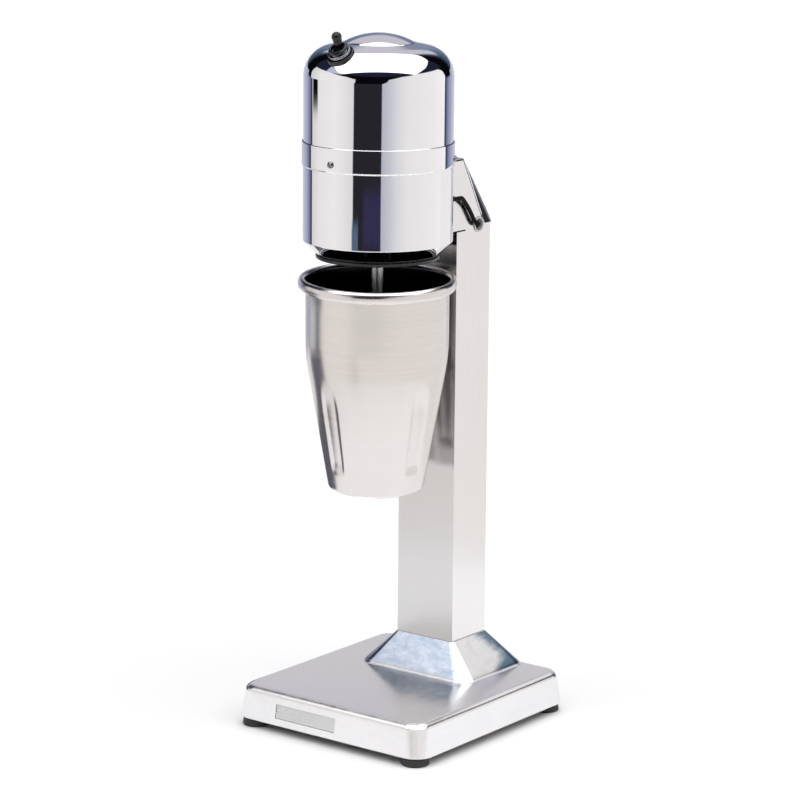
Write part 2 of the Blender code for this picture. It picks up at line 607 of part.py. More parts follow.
def make_fan(mats, spin, grip):
    blades = 9
    outline = []
    for index in range(blades):
        start = 360.0 * index / blades
        outline += arc(0.0, 0.0, 0.0360, start, start + 7.0, 1)
        outline += arc(0.0, 0.0, 0.0095, start + 14.0, start + 34.0, 1)
    fan = prism("cooling_fan", outline, 0.4220, 0.4300, mats["black_plastic"], parent=spin)
    drill(fan, grip, (0.0, 0.0, 0.4100), (0.0, 0.0, 0.4400), MIDDLE_ROUND, spin)


def make_agitator(mats, spin):
    """A waved beater disc, clamped on the threaded end by a round nut."""
    disc_z, thick, reach, waves, height = 0.2105, 0.0012, 0.0150, 6, 0.0012
    hole = THREAD_RADIUS + GAP
    profile = [(hole, disc_z), (0.0070, disc_z), (0.0110, disc_z), (reach, disc_z),
               (reach, disc_z + thick), (0.0110, disc_z + thick), (0.0070, disc_z + thick),
               (hole, disc_z + thick)]
    bm = turned_mesh(profile, 4 * waves)
    for vert in bm.verts:
        radius = math.hypot(vert.co.x, vert.co.y)
        share = max(0.0, (radius - 0.0070) / (reach - 0.0070))
        vert.co.z += height * share * math.sin(waves * math.atan2(vert.co.y, vert.co.x))
    make_object("agitator_disc", bm, mats["steel"], spin)
    nut = [(hole, 0.2052), (0.0052, 0.2052), (0.0062, 0.2062), (0.0062, 0.2102), (hole, 0.2102)]
    turned("agitator_nut", nut, 16, mats["steel"], spin)


# ------------------------------------------------------------------ switch
def switch_frame():
    """Centre of the switch on the dome's shoulder and the lean of its axis from vertical."""
    cosine = (SWITCH_RADIUS - (DOME_RADIUS - SHOULDER_RADIUS)) / SHOULDER_RADIUS
    height = SHOULDER_Z + SHOULDER_RADIUS * math.sqrt(1.0 - cosine ** 2)
    return Vector((0.0, HOUSING_Y - SWITCH_RADIUS, height)), math.asin(cosine)


def make_switch(mats, dome, axis):
    place, lean = switch_frame()
    seat = make_empty("switch_axis", place, tilt=lean)
    hole_tool = cylinder_tool("cut_switch_hole", SWITCH_BORE, (0.0, 0.0, -0.0060), (0.0, 0.0, 0.0060),
                              MIDDLE_ROUND, seat)
    boolean(dome, hole_tool)
    gasket = turned("switch_gasket", ring_profile(0.0063, 0.0095, -0.0035, 0.0009), MIDDLE_ROUND,
                    mats["rubber"], seat)
    solid = [(0.0, SHOULDER_Z - 0.0200), (DOME_RADIUS + GAP, SHOULDER_Z - 0.0200)]
    solid += dome_profile(-GAP, 6, 4)
    boolean(gasket, turned("cut_dome_solid", solid, BIG_ROUND, None, axis))
    turned("switch_nut", ring_profile(0.0061, 0.0080, 0.0012, 0.0033), 16, mats["dark_chrome"], seat)
    turned("switch_bushing", ring_profile(0.0043, 0.0058, -0.0040, 0.0040), MIDDLE_ROUND,
           mats["dark_chrome"], seat)
    boot = [(0.0047, 0.0043), (0.0067, 0.0043), (0.0067, 0.0054), (0.0058, 0.0064), (0.0049, 0.0064)]
    turned("switch_boot", boot, 20, mats["rubber"], seat)
    box("switch_body", (-0.0065, -0.0100, -0.0203), (0.0065, 0.0100, -0.0050), mats["black_plastic"], seat)

    pivot = make_empty("toggle_pivot", (0.0, 0.0, -LEVER_PIVOT_DEPTH), tilt=-LEVER_THROW)
    pivot.parent = seat
    ball = 0.0031
    bat = arc(0.0, 0.0, ball, -90.0, 40.0, 4)
    bat[0] = (0.0, -ball)
    bat += [(0.0024, 0.0036), (0.0026, 0.0062), (0.0034, 0.0128)]
    bat += arc(0.0, 0.0136, 0.0034, 10.0, 90.0, 3)
    bat[-1] = (0.0, 0.0170)
    turned("toggle_lever", bat, 16, mats["black_plastic"], pivot)


# ------------------------------------------------------------------ motor lead
def smooth_route(route, steps):
    """Catmull-Rom points through the route's own points."""
    ends = [route[0] * 2.0 - route[1]] + route + [route[-1] * 2.0 - route[-2]]
    points = []
    for before, start, end, after in zip(ends, ends[1:], ends[2:], ends[3:]):
        for step in range(steps):
            t = step / steps
            points.append(0.5 * (2.0 * start + (end - before) * t
                                 + (2.0 * before - 5.0 * start + 4.0 * end - after) * t ** 2
                                 + (3.0 * start - before - 3.0 * end + after) * t ** 3))
    points.append(route[-1])
    return points


def make_lead(mats):
    """The motor lead: out of the housing, over the cheek, and down the column to the gland."""
    lead_out = Vector((math.cos(LEAD_EXIT_ANGLE), math.sin(LEAD_EXIT_ANGLE), 0.0))
    start = Vector((0.0, HOUSING_Y, LEAD_EXIT_Z))
    route = [start + lead_out * 0.0455, start + lead_out * 0.0505, start + lead_out * 0.0555]
    route += [Vector(point) for point in (
        (0.0318, 0.0182, 0.3745), (0.0296, 0.0240, 0.3736), (0.0276, 0.0292, 0.3710),
        (0.0267, 0.0345, 0.3666), (0.0267, 0.0388, 0.3612), (0.0267, 0.0425, 0.3560),
        (0.0270, 0.0455, 0.3532), (0.0264, 0.0482, 0.3522), (0.0247, 0.0504, 0.3518),
        (0.0223, 0.0517, 0.3517), (0.0192, 0.0524, 0.3506), (0.0158, 0.0528, 0.3455),
        (0.0110, 0.0545, 0.3350), (0.0060, 0.0530, 0.3150), (0.0020, 0.0510, 0.2800),
        (0.0000, 0.0500, 0.2300), (0.0010, 0.0500, 0.1750), (0.0000, 0.0500, 0.1250),
        (0.0000, 0.0502, 0.1020), (0.0000, 0.0520, 0.0890), (0.0000, 0.0562, 0.0825),
        (0.0000, 0.0600, 0.0820))]
    curve = bpy.data.curves.new("motor_lead", "CURVE")
    curve.dimensions = "3D"
    curve.bevel_depth = LEAD_RADIUS
    curve.bevel_resolution = 2
    curve.use_fill_caps = True
    points = smooth_route(route, 2)
    spline = curve.splines.new("POLY")
    spline.points.add(len(points) - 1)
    for target, point in zip(spline.points, points):
        target.co = (*point, 1.0)
    curve.materials.append(mats["rubber"])
    item = bpy.data.objects.new("motor_lead", curve)
    bpy.context.scene.collection.objects.link(item)


# ------------------------------------------------------------------ cup
def cup_outside(inset):
    """The wall's outer line from the floor up to the end of the straight part."""
    wall = CUP_RADIUS - inset
    knee = arc(wall - CUP_KNEE_RADIUS, -CUP_STRAIGHT, CUP_KNEE_RADIUS, -math.degrees(CUP_TAPER), 0.0, 3)
    floor = -CUP_DEPTH + inset
    corner_z = floor + CUP_CORNER
    corner_r = knee[0][0] - (knee[0][1] - corner_z) * math.tan(CUP_TAPER)
    corner = arc(corner_r - CUP_CORNER, corner_z, CUP_CORNER, -90.0, -math.degrees(CUP_TAPER), 3)
    return [(0.0, floor)] + corner + knee


def make_cup(mats):
    axis = (math.cos(CUP_TILT_TOWARDS), math.sin(CUP_TILT_TOWARDS), 0.0)
    seat = make_empty("cup_seat", (0.0, HOUSING_Y, RIM_Z), axis, CUP_TILT)
    profile = cup_outside(0.0) + [(CUP_RADIUS, -RIM_FLARE)]
    profile += oval(RIM_CENTRE_RADIUS, -RIM_CENTRE_DROP, RIM_HALF_WIDTH - RIM_SHEET,
                    RIM_HALF_HEIGHT - RIM_SHEET, 180.0, -60.0, 6)
    profile += oval(RIM_CENTRE_RADIUS, -RIM_CENTRE_DROP, RIM_HALF_WIDTH, RIM_HALF_HEIGHT, -60.0, 180.0, 8)
    profile += [(CUP_RADIUS - CUP_WALL, -RIM_FLARE)] + list(reversed(cup_outside(CUP_WALL)))
    turned("cup", profile, BIG_ROUND, mats["satin_steel"], seat)


# ------------------------------------------------------------------ assembly
def make_materials():
    return {
        "chrome": make_material("chrome", (0.86, 0.87, 0.90), 0.06, 1.0),
        "dark_chrome": make_material("dark_chrome", (0.22, 0.22, 0.25), 0.25, 1.0),
        "cast_aluminium": make_material("cast_aluminium", (0.76, 0.75, 0.76), 0.30, 1.0),
        "satin_aluminium": make_material("satin_aluminium", (0.86, 0.85, 0.85), 0.30, 1.0),
        "satin_steel": make_material("satin_steel", (0.78, 0.75, 0.73), 0.24, 1.0),
        "steel": make_material("steel", (0.60, 0.61, 0.63), 0.25, 1.0),
        "dark_steel": make_material("dark_steel", (0.25, 0.25, 0.26), 0.45, 1.0),
        "zinc": make_material("zinc", (0.55, 0.56, 0.58), 0.35, 1.0),
        "rubber": make_material("rubber", (0.015, 0.015, 0.017), 0.60, 0.0),
        "black_plastic": make_material("black_plastic", (0.010, 0.010, 0.013), 0.35, 0.0),
        "badge": make_material("badge", (0.30, 0.30, 0.31), 0.35, 1.0),
        "lamination": make_material("lamination", (0.20, 0.21, 0.24), 0.40, 1.0),
        "copper": make_material("copper", (0.72, 0.36, 0.20), 0.30, 1.0),
        "brass": make_material("brass", (0.75, 0.58, 0.28), 0.30, 1.0),
        "carbon": make_material("carbon", (0.03, 0.03, 0.03), 0.60, 0.0),
    }


def main():
    clear_scene()
    mats = make_materials()
    axis = make_empty("housing_axis", (0.0, HOUSING_Y, 0.0))
    spin = make_empty("spindle_axis", (0.0, HOUSING_Y, 0.0))
    make_base(mats)
    make_column(mats)
    make_head(mats)
    make_hanger(mats)
    dome = make_housing(mats, axis)
    make_motor(mats, axis, spin)
    make_switch(mats, dome, axis)
    make_lead(mats)
    make_cup(mats)


main()
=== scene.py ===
"""Looks of the single-spindle milkshake mixer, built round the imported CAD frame.

Metres, +Z up, front towards -Y, +X on the right seen from the front.
"""
import math

import bmesh
import bpy
from mathutils import Matrix, Vector


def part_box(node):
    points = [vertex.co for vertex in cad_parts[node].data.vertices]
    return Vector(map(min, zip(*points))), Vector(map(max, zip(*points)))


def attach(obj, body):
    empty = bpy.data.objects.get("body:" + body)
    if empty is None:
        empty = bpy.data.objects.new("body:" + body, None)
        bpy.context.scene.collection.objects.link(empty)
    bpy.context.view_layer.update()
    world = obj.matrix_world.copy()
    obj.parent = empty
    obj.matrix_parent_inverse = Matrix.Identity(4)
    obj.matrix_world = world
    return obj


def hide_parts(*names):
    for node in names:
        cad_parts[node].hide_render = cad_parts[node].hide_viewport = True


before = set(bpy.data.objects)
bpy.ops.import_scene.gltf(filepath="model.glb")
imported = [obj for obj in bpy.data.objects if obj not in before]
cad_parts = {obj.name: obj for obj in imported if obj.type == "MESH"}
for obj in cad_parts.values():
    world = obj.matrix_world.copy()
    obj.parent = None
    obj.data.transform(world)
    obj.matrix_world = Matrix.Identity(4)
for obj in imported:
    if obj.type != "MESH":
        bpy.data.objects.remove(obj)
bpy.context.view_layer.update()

# ---- dimensions taken from the frame
casing_low, casing_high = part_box("motor_casing")
dome_low, dome_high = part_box("dome_cap")
base_low, base_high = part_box("base_casting")
column_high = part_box("column_tube")[1]

HOUSING_Y = (casing_low.y + casing_high.y) / 2
BAND_RADIUS = (casing_high.x - casing_low.x) / 2
HOUSING_RADIUS = BAND_RADIUS - 0.0008
DOME_RADIUS = (dome_high.x - dome_low.x) / 2
HOUSING_BOTTOM = casing_low.z
BAND_TOP = casing_high.z
APEX_Z = dome_high.z
SOCKET_TOP = base_high.z
BASE_UNDERSIDE = base_low.z
BASE_HALF_X = base_high.x
BASE_HALF_Y = base_high.y
COLUMN_HALF = column_high.x
COLUMN_BACK = column_high.y
GAP = 0.0003  # clearance between pieces that touch
AXIS = Vector((0.0, HOUSING_Y, 0.0))
ON_AXIS = Matrix.Translation(AXIS)

# ---- shape of the pieces that are rebuilt
SHEET = 0.0009
CHAMFER_RADIUS = 0.0417
CHAMFER_TOP = 0.3489
BAND_BOTTOM = 0.401
SHOULDER_Z = 0.461
SHOULDER_RADIUS = 0.021
CROWN_RADIUS = 0.0245
CROWN_BASE_Z = 0.4836

BASE_TOP = 0.0298
BASE_CORNER = 0.0137
BASE_EDGE = 0.005
BASE_DRAFT = 0.003  # the sides lean in this much from bottom to top
DRAFT_BOTTOM = 0.0068
DRAFT_TOP = 0.0256
BASE_HOLLOW_TOP = 0.0258
SOCKET_FLOOR = 0.0319
POCKET_TOP = 0.07
SOCKET_FOOT = (0.047, 0.0113, 0.0829, 0.011)  # half width, front, back and corner radius
SOCKET_HEAD = (0.0254, 0.0246, 0.0662, 0.003)
SOCKET_BACK_LEAN = (SOCKET_FOOT[2] - SOCKET_HEAD[2]) / (SOCKET_TOP - BASE_TOP)
COLUMN_FRONT = 0.0258
FOOT_X = BASE_HALF_X - 0.0123
FOOT_Y = BASE_HALF_Y - 0.0112

COVER_THICK = 0.0012
COVER_TOP = 0.4001
COVER_BEND_Y = 0.033
COVER_HEEL_Y = 0.0668
COVER_HEEL_Z = 0.3534
COVER_END_Z = 0.352
COVER_EDGE = 0.0028  # rounding along the cover's long edges
COVER_RUN = COVER_HEEL_Y - COVER_BEND_Y
COVER_DROP = COVER_TOP - COVER_HEEL_Z
COVER_SLOPE = math.hypot(COVER_RUN, COVER_DROP)
CHEEK_FRONT = 0.0146
WING_FRONT = 0.0571

RIM_Z = 0.3206
RIM_CENTRE_RADIUS = 0.052
RIM_CENTRE_DROP = 0.0015
RIM_HALF_WIDTH = 0.0027
RIM_HALF_HEIGHT = 0.0042
RIM_FLARE = 0.0095
RIM_SHEET = 0.0008
CUP_TILT = math.radians(2.0)
CUP_TILT_TOWARDS = math.radians(37.0)
CUP_RADIUS = 0.0494
CUP_WALL = 0.001
CUP_DEPTH = 0.1466
CUP_STRAIGHT = 0.04
CUP_KNEE_RADIUS = 0.14
CUP_TAPER = math.radians(9.8)
CUP_CORNER = 0.003
FLUTE_CENTRE = -9.5  # degrees from +X; four flutes at right angles
FLUTE_HALF = 11.0  # degrees
FLUTE_DEPTH = 0.0012
FLUTE_TOP = -0.061
FLUTE_BOTTOM = -0.1325

SWITCH_OUT = 0.0418
LEVER_THROW = math.radians(14.0)
LEVER_PIVOT_DEPTH = 0.0006
SCREW_Z = 0.4058
SPLASH_PLATE_RADIUS = 0.0428
SPLASH_PLATE_UNDERSIDE = 0.3368
DISC_Z = 0.2105
DISC_THICK = 0.0012
DISC_RADIUS = 0.015
DISC_HUB = 0.007  # the waves start here
DISC_WAVES = 6
DISC_WAVE_HEIGHT = 0.0012

LEAD_RADIUS = 0.0016
LEAD_EXIT_ANGLE = math.radians(55.0)
LEAD_EXIT_Z = 0.3746
LEAD_RIB_PITCH = 0.0013
LEAD_RIB_DEPTH = 0.17  # share of the lead's radius
LEAD_RIBBED_POINTS = 13
LEAD_SIDES = 14
LEAD_ROUTE = (
    (0.0318, 0.0182, 0.3745), (0.0296, 0.0240, 0.3736), (0.0276, 0.0292, 0.3710),
    (0.0267, 0.0345, 0.3666), (0.0267, 0.0388, 0.3612), (0.0267, 0.0425, 0.3560),
    (0.0270, 0.0455, 0.3532), (0.0264, 0.0482, 0.3522), (0.0247, 0.0504, 0.3518),
    (0.0223, 0.0517, 0.3517), (0.0192, 0.0524, 0.3506), (0.0158, 0.0528, 0.3455),
    (0.0110, 0.0545, 0.3350), (0.0060, 0.0530, 0.3150), (0.0020, 0.0510, 0.2800),
    (0.0000, 0.0500, 0.2300), (0.0010, 0.0500, 0.1750), (0.0000, 0.0500, 0.1250),
    (0.0000, 0.0502, 0.1020), (0.0000, 0.0520, 0.0890), (0.0000, 0.0562, 0.0825),
    (0.0000, 0.0600, 0.0820))

CAMERA_AZIMUTH = 37.347
CAMERA_ELEVATION = 12.417
CAMERA_ROLL = 0.487
CAMERA_DISTANCE = 2.23826
CAMERA_TARGET = Vector((-0.00425, 0.0, 0.2306))
CAMERA_LENS = 144.0


# ---- camera and studio
def make_camera():
    data = bpy.data.cameras.new("camera")
    data.lens = CAMERA_LENS
    data.sensor_width = 36.0
    data.clip_end = 50.0
    camera = new_object("camera", data)
    turn = (Matrix.Rotation(math.radians(CAMERA_AZIMUTH), 4, "Z")
            @ Matrix.Rotation(math.radians(90.0 - CAMERA_ELEVATION), 4, "X")
            @ Matrix.Rotation(math.radians(CAMERA_ROLL), 4, "Z"))
    back = turn.to_3x3() @ Vector((0.0, 0.0, CAMERA_DISTANCE))
    camera.matrix_world = Matrix.Translation(CAMERA_TARGET + back) @ turn
    bpy.context.scene.camera = camera


def new_object(name, data):
    item = bpy.data.objects.new(name, data)
    bpy.context.scene.collection.objects.link(item)
    return item


def heading(angle):
    return Vector((math.cos(angle), math.sin(angle), 0.0))


def linear(red, green, blue):
    """Linear colour from 0 to 255 display values."""
    result = []
    for value in (red, green, blue):
        share = value / 255.0
        result.append(share / 12.92 if share <= 0.04045 else ((share + 0.055) / 1.055) ** 2.4)
    return Vector(result)


def smooth_step(value, start, end):
    share = min(1.0, max(0.0, (value - start) / (end - start)))
    return share * share * (3.0 - 2.0 * share)


BLACK = linear(9, 8, 13)
CHARCOAL = linear(40, 38, 44)
PURPLE = linear(52, 48, 78)
NIGHT = linear(40, 44, 68)
SLATE_DARK = linear(112, 118, 150)
SLATE = linear(158, 163, 190)
SLATE_PALE = linear(190, 192, 214)
TEAL = linear(48, 84, 104)
TEAL_GREY = linear(84, 104, 128)
SMOKE = linear(92, 92, 104)
LILAC = linear(202, 197, 208)
PANEL = linear(243, 240, 239)
CREAM = linear(245, 242, 239)
BACKDROP = linear(212, 210, 213)
TOP_LIGHT = 2.0
FLOOR_PAINT = 0.89
STUDIO_RADIUS = 40.0
STUDIO_HEIGHT = 0.38  # the painted directions are exact from here
TABLE_LINE = -10.3
SOFTBOX = ((-2.0, 1.24), (1.95, 1.24), (2.02, 0.98), (1.45, 0.0), (0.92, -0.53), (0.7, -0.585),
           (0.45, -0.69), (-0.38, -0.69), (-0.5, -0.25), (-1.3, 0.05), (-2.0, 0.8))
LEFT_TOP = ((-125.0, 8.0), (-120.0, 18.5), (-85.0, 20.5), (-62.0, 16.0), (-50.0, 14.5), (-37.0, 9.0))
RIGHT_TOP = ((10.0, 7.0), (16.0, 10.0), (26.0, 14.0), (37.0, 18.5), (55.0, 20.5), (59.0, 24.0),
             (65.0, 23.0), (90.0, 22.0), (110.0, 20.0), (117.0, 14.0), (121.0, 2.0))
LEFT_PAINT = ((38.0, PANEL * 0.84), (60.0, PANEL * 0.97), (70.0, PANEL), (100.0, PANEL * 0.95),
              (121.0, PANEL * 0.78))
RIGHT_PAINT = ((4.0, linear(182, 184, 198)), (18.0, linear(204, 204, 213)), (27.0, linear(220, 219, 223)),
               (45.0, PANEL * 0.95), (89.0, PANEL), (118.0, PANEL * 1.08))
REAR_LOW = ((0.0, NIGHT), (2.0, NIGHT), (7.0, SLATE_DARK), (17.0, SLATE), (45.0, SLATE_PALE))
REAR_HIGH = ((0.0, BLACK), (20.0, BLACK), (38.0, TEAL_GREY), (58.0, linear(140, 146, 168)))
BACKDROP_PAINT = ((138.0, SLATE), (150.0, SLATE_PALE), (162.0, BACKDROP), (198.0, BACKDROP),
                  (210.0, SLATE_PALE), (228.0, SLATE))


def along(value, stops):
    """Straight-line blend through (place, number or colour) stops."""
    if value <= stops[0][0]:
        return stops[0][1]
    for (start, first), (end, second) in zip(stops, stops[1:]):
        if value <= end:
            return first + (second - first) * ((value - start) / (end - start))
    return stops[-1][1]


def window(value, start, end, soft):
    """One inside a range, fading to nothing over soft on both sides."""
    return smooth_step(min(value - start, end - value), -soft / 2.0, soft / 2.0)


def softbox_share(side, front):
    nearest, inside = 9.0, False
    here = Vector((side, front))
    for start, end in zip(SOFTBOX, SOFTBOX[1:] + SOFTBOX[:1]):
        first, last = Vector(start), Vector(end)
        edge = last - first
        share = min(1.0, max(0.0, (here - first).dot(edge) / edge.length_squared))
        nearest = min(nearest, (here - first - edge * share).length)
        if (first.y > front) != (last.y > front):
            if side < first.x + (front - first.y) * edge.x / edge.y:
                inside = not inside
    return smooth_step(nearest if inside else -nearest, -0.05, 0.02)


def rear_colour(past, elevation):
    """The room behind, by the angle past the side panels."""
    colour = along(past, REAR_LOW).lerp(along(past, REAR_HIGH), smooth_step(elevation, -4.0, 0.0))
    return colour.lerp(LILAC, smooth_step(elevation, 23.0, 29.0) * smooth_step(past, 27.0, 36.0))


def table_colour(around, elevation):
    """Below the table's far edge: cream paper with a few dull objects at its sides."""
    colour = CREAM * (1.0 - 0.08 * window(around, -46.0, 14.0, 16.0))
    near_edge = window(elevation, -13.4, 0.0, 0.8)
    colour = colour.lerp(TEAL, window(around, -117.0, -105.0, 3.0) * near_edge)
    colour = colour.lerp(SLATE, 0.8 * window(around, 111.0, 127.0, 4.0) * near_edge)
    colour = colour.lerp(SLATE_PALE, near_edge * smooth_step(abs(around), 140.0, 165.0))
    low = window(elevation, -28.0, -13.6, 3.0)
    colour = colour.lerp(SMOKE, window(around, -139.0, -101.0, 5.0) * low)
    fall = smooth_step(-elevation, 15.0, 34.0)
    return colour * (1.0 - 0.22 * fall * smooth_step(60.0 - abs(around), 0.0, 30.0))


def studio_colour(around, elevation):
    """What the studio shows in a direction: angle round from the key view's own, in degrees."""
    around = (around + 180.0) % 360.0 - 180.0
    outer_left = -121.0 if elevation < -4.0 else -125.0
    past = around - 121.0 if around > 0.0 else outer_left - around
    colour = rear_colour(max(0.0, past), elevation)
    # the dark gap in front, then the side panels
    if past < 0.0:
        colour = along(elevation, ((-6.0, CHARCOAL), (-4.8, BLACK)))
        colour = colour.lerp(PURPLE, window(around, -22.0, 30.0, 6.0) * window(elevation, -9.75, -8.7, 0.4))
        colour = colour.lerp(BLACK.lerp(NIGHT, 0.6), smooth_step(elevation, 18.0, 24.0))
    inner_left = along(elevation, ((-9.0, -38.5), (0.0, -35.5)))
    inner_right = along(elevation, ((-9.0, 4.5), (-5.0, 6.0), (0.0, 12.0), (10.0, 16.0)))
    left_in = min(around - outer_left, inner_left - around, along(around, LEFT_TOP) - elevation)
    right_in = min(around - inner_right, 121.0 - around, along(around, RIGHT_TOP) - elevation)
    colour = colour.lerp(along(-around, LEFT_PAINT), smooth_step(left_in, -0.7, 0.7))
    colour = colour.lerp(along(around, RIGHT_PAINT), smooth_step(right_in, -0.7, 0.7))
    for paint, start, end, soft, bottom, top, blur in (
            (BLACK, -119.0, -106.0, 3.0, -7.1, -4.5, 0.4),
            (TEAL_GREY, -40.0, -30.0, 2.0, -9.9, -9.25, 0.12),
            (SLATE_PALE, -92.0, -61.0, 4.0, 20.0, 35.0, 2.0)):
        colour = colour.lerp(paint, window(around, start, end, soft) * window(elevation, bottom, top, blur))
    if elevation > 12.0:
        reach = 1.0 / math.tan(math.radians(min(elevation, 89.9)))
        turn = math.radians(around)
        share = softbox_share(reach * math.sin(turn), reach * math.cos(turn))
        colour = colour.lerp(Vector((TOP_LIGHT, TOP_LIGHT, TOP_LIGHT)), share)
    above = smooth_step(elevation, TABLE_LINE - 0.2, TABLE_LINE + 0.1)
    return table_colour(around, elevation).lerp(colour, above)


def light_material():
    material, tree, shader = new_material("studio_light")
    material.cycles.emission_sampling = "NONE"
    tree.nodes.remove(shader)
    paint = add_node(tree, "Attribute", {"attribute_name": "light"})
    glow = add_node(tree, "Emission", Color=paint.outputs["Color"])
    tree.links.new(glow.outputs["Emission"], tree.nodes["Material Output"].inputs["Surface"])
    return material


def light_card(name, rows, material):
    """A glowing grid; rows hold (place, colour) pairs of equal count."""
    width = len(rows[0])
    places = [place for row in rows for place, _ in row]
    corners = [row * width + column for row in range(len(rows) - 1) for column in range(width - 1)]
    faces = [(corner, corner + 1, corner + width + 1, corner + width) for corner in corners]
    mesh = bpy.data.meshes.new(name)
    mesh.from_pydata(places, [], faces)
    paint = mesh.color_attributes.new("light", "FLOAT_COLOR", "POINT")
    paint.data.foreach_set("color", [part for row in rows for _, colour in row for part in (*colour, 1.0)])
    mesh.materials.append(material)
    card = new_object(name, mesh)
    card.visible_camera = False
    return card


def place_round(radius, around, height):
    """The place at this angle round from the key view."""
    turn = math.radians(around + CAMERA_AZIMUTH)
    return radius * math.sin(turn), -radius * math.cos(turn), height


def low_card(name, radius, bottom, top, stops, material):
    """A curved card round the stand, for reflections only; stops colour it by the angle round."""
    turns = [stops[0][0] + (stops[-1][0] - stops[0][0]) * column / 48 for column in range(49)]
    rows = [[(place_round(radius, around, height), along(around, stops)) for around in turns]
            for height in (bottom, top)]
    card = light_card(name, rows, material)
    card.visible_diffuse = False
    card.visible_shadow = False


def make_studio():
    """A painted sphere for soft light and reflections, and cards close round the stand."""
    material = light_material()
    levels = [-90.0 + 4.0 * k for k in range(16)] + [-26.0 + 1.0 * k for k in range(13)]
    levels += [-13.0 + 0.2 * k for k in range(45)] + [-4.0 + 1.0 * k for k in range(75)]
    levels += [71.0 + 3.8 * k for k in range(6)]
    turns = [-180.0 + 0.75 * column for column in range(481)]
    rows = []
    for elevation in levels:
        flat = STUDIO_RADIUS * math.cos(math.radians(elevation))
        height = STUDIO_HEIGHT + STUDIO_RADIUS * math.sin(math.radians(elevation))
        rows.append([(place_round(flat, around, height), studio_colour(around, elevation))
                     for around in turns])
    light_card("studio", rows, material)
    low_card("backdrop", 1.2, 0.0, 0.56, BACKDROP_PAINT, material)
    for name, radius, bottom, top, start, end, colour in (
            ("front_card", 1.0, 0.0, 0.15, -75.0, 50.0, CREAM),
            ("left_card", 1.0, 0.38, 0.68, -97.0, -60.0, PANEL),
            ("right_card", 0.35, 0.19, 0.35, 102.0, 142.0, PANEL),
            ("near_card", 0.35, 0.05, 0.19, -30.0, 45.0, CREAM),
            ("dark_card", 0.38, 0.001, 0.11, -160.0, -106.0, SMOKE)):
        low_card(name, radius, bottom, top, ((start, colour), (end, colour)), material)


def make_floor():
    """A pale table: its middle shows in reflections, its far part only to the eye."""
    material, _, shader = new_material("table_paper")
    shader.inputs["Base Color"].default_value = (FLOOR_PAINT, FLOOR_PAINT, FLOOR_PAINT, 1.0)
    shader.inputs["Roughness"].default_value = 0.9
    shader.inputs["Specular IOR Level"].default_value = 0.0
    for name, inner, outer, reflected in (("floor_0", 0.0, 0.45, True), ("floor_1", 0.45, 12.0, False)):
        bm = skin([[(x, y, 0.0) for x, y in arc(0.0, 0.0, radius, 0.0, 360.0, 96)[:-1]]
                   for radius in (inner, outer)], capped=False)
        bmesh.ops.remove_doubles(bm, verts=bm.verts, dist=1e-7)
        floor = plain_object(name, bm)
        floor.data.materials.append(material)
        floor.visible_glossy = reflected


def make_world():
    world = bpy.data.worlds.new("world")
    world.use_nodes = True
    background = world.node_tree.nodes["Background"]
    background.inputs["Color"].default_value = (1.0, 1.0, 1.0, 1.0)
    background.inputs["Strength"].default_value = 1.0
    bpy.context.scene.world = world
    bpy.context.scene.view_settings.view_transform = "Standard"


# ---- materials
EVEN = (1.0, 1.0, 1.0)  # a grain's stretch along X, Y and Z
ACROSS = (1.0, 1.0, 60.0)
STACKED = (0.5, 0.5, 60.0)
METALS = {
    # dark and light colour, least and most roughness, grain stretch and size, relief depth, patch size
    "chrome": ((0.9, 0.905, 0.925), (0.92, 0.925, 0.945), (0.012, 0.03), EVEN, 90.0),
    "dark_chrome": ((0.16, 0.17, 0.2), (0.32, 0.33, 0.38), (0.12, 0.25), EVEN, 300.0),
    "cup_steel": ((0.75, 0.72, 0.705), (0.79, 0.757, 0.74), (0.19, 0.24), ACROSS, 9.0, 0.000003, 18.0),
    # the cup's inside is painted near-black: painted shade inside the cup
    "cup_inside_painted_shade": ((0.02, 0.02, 0.022), (0.04, 0.039, 0.042), (0.1, 0.16), ACROSS, 9.0, 0.000004, 18.0),
    "bright_steel": ((0.86, 0.86, 0.87), (0.94, 0.94, 0.95), (0.3, 0.42), ACROSS, 14.0),
    "steel": ((0.5, 0.51, 0.53), (0.68, 0.68, 0.69), (0.18, 0.32), ACROSS, 14.0, 0.00001),
    "dark_zinc": ((0.26, 0.26, 0.28), (0.38, 0.38, 0.4), (0.18, 0.32), EVEN, 700.0, 0.00001),
    "zinc": ((0.42, 0.43, 0.45), (0.62, 0.63, 0.65), (0.25, 0.45), EVEN, 700.0, 0.00002),
    "column_metal": ((0.845, 0.833, 0.835), (0.875, 0.862, 0.864), (0.17, 0.23), (60.0, 60.0, 1.0), 20.0,
                     0.000003, 12.0),
    # near-black for the cover's side wings: painted shade, paled later by a painted reflection
    "wing_painted_shade": ((0.012, 0.012, 0.014), (0.02, 0.02, 0.024), (0.08, 0.16), EVEN, 90.0),
    "dark_steel": ((0.2, 0.2, 0.21), (0.28, 0.28, 0.29), (0.4, 0.6), EVEN, 500.0, 0.00003),
    "badge_metal": ((0.6, 0.6, 0.61), (0.68, 0.68, 0.69), (0.22, 0.32), (1.0, 60.0, 60.0), 16.0, 0.00001),
    "lamination": ((0.14, 0.14, 0.16), (0.26, 0.27, 0.3), (0.35, 0.55), STACKED, 40.0, 0.00005),
    "copper": ((0.55, 0.23, 0.1), (0.8, 0.42, 0.24), (0.22, 0.4), STACKED, 40.0, 0.00008),
    "brass": ((0.62, 0.46, 0.2), (0.8, 0.63, 0.32), (0.22, 0.4), EVEN, 500.0, 0.00002),
    "cast_inside": ((0.48, 0.48, 0.49), (0.62, 0.62, 0.63), (0.45, 0.65), EVEN, 900.0, 0.00008),
}
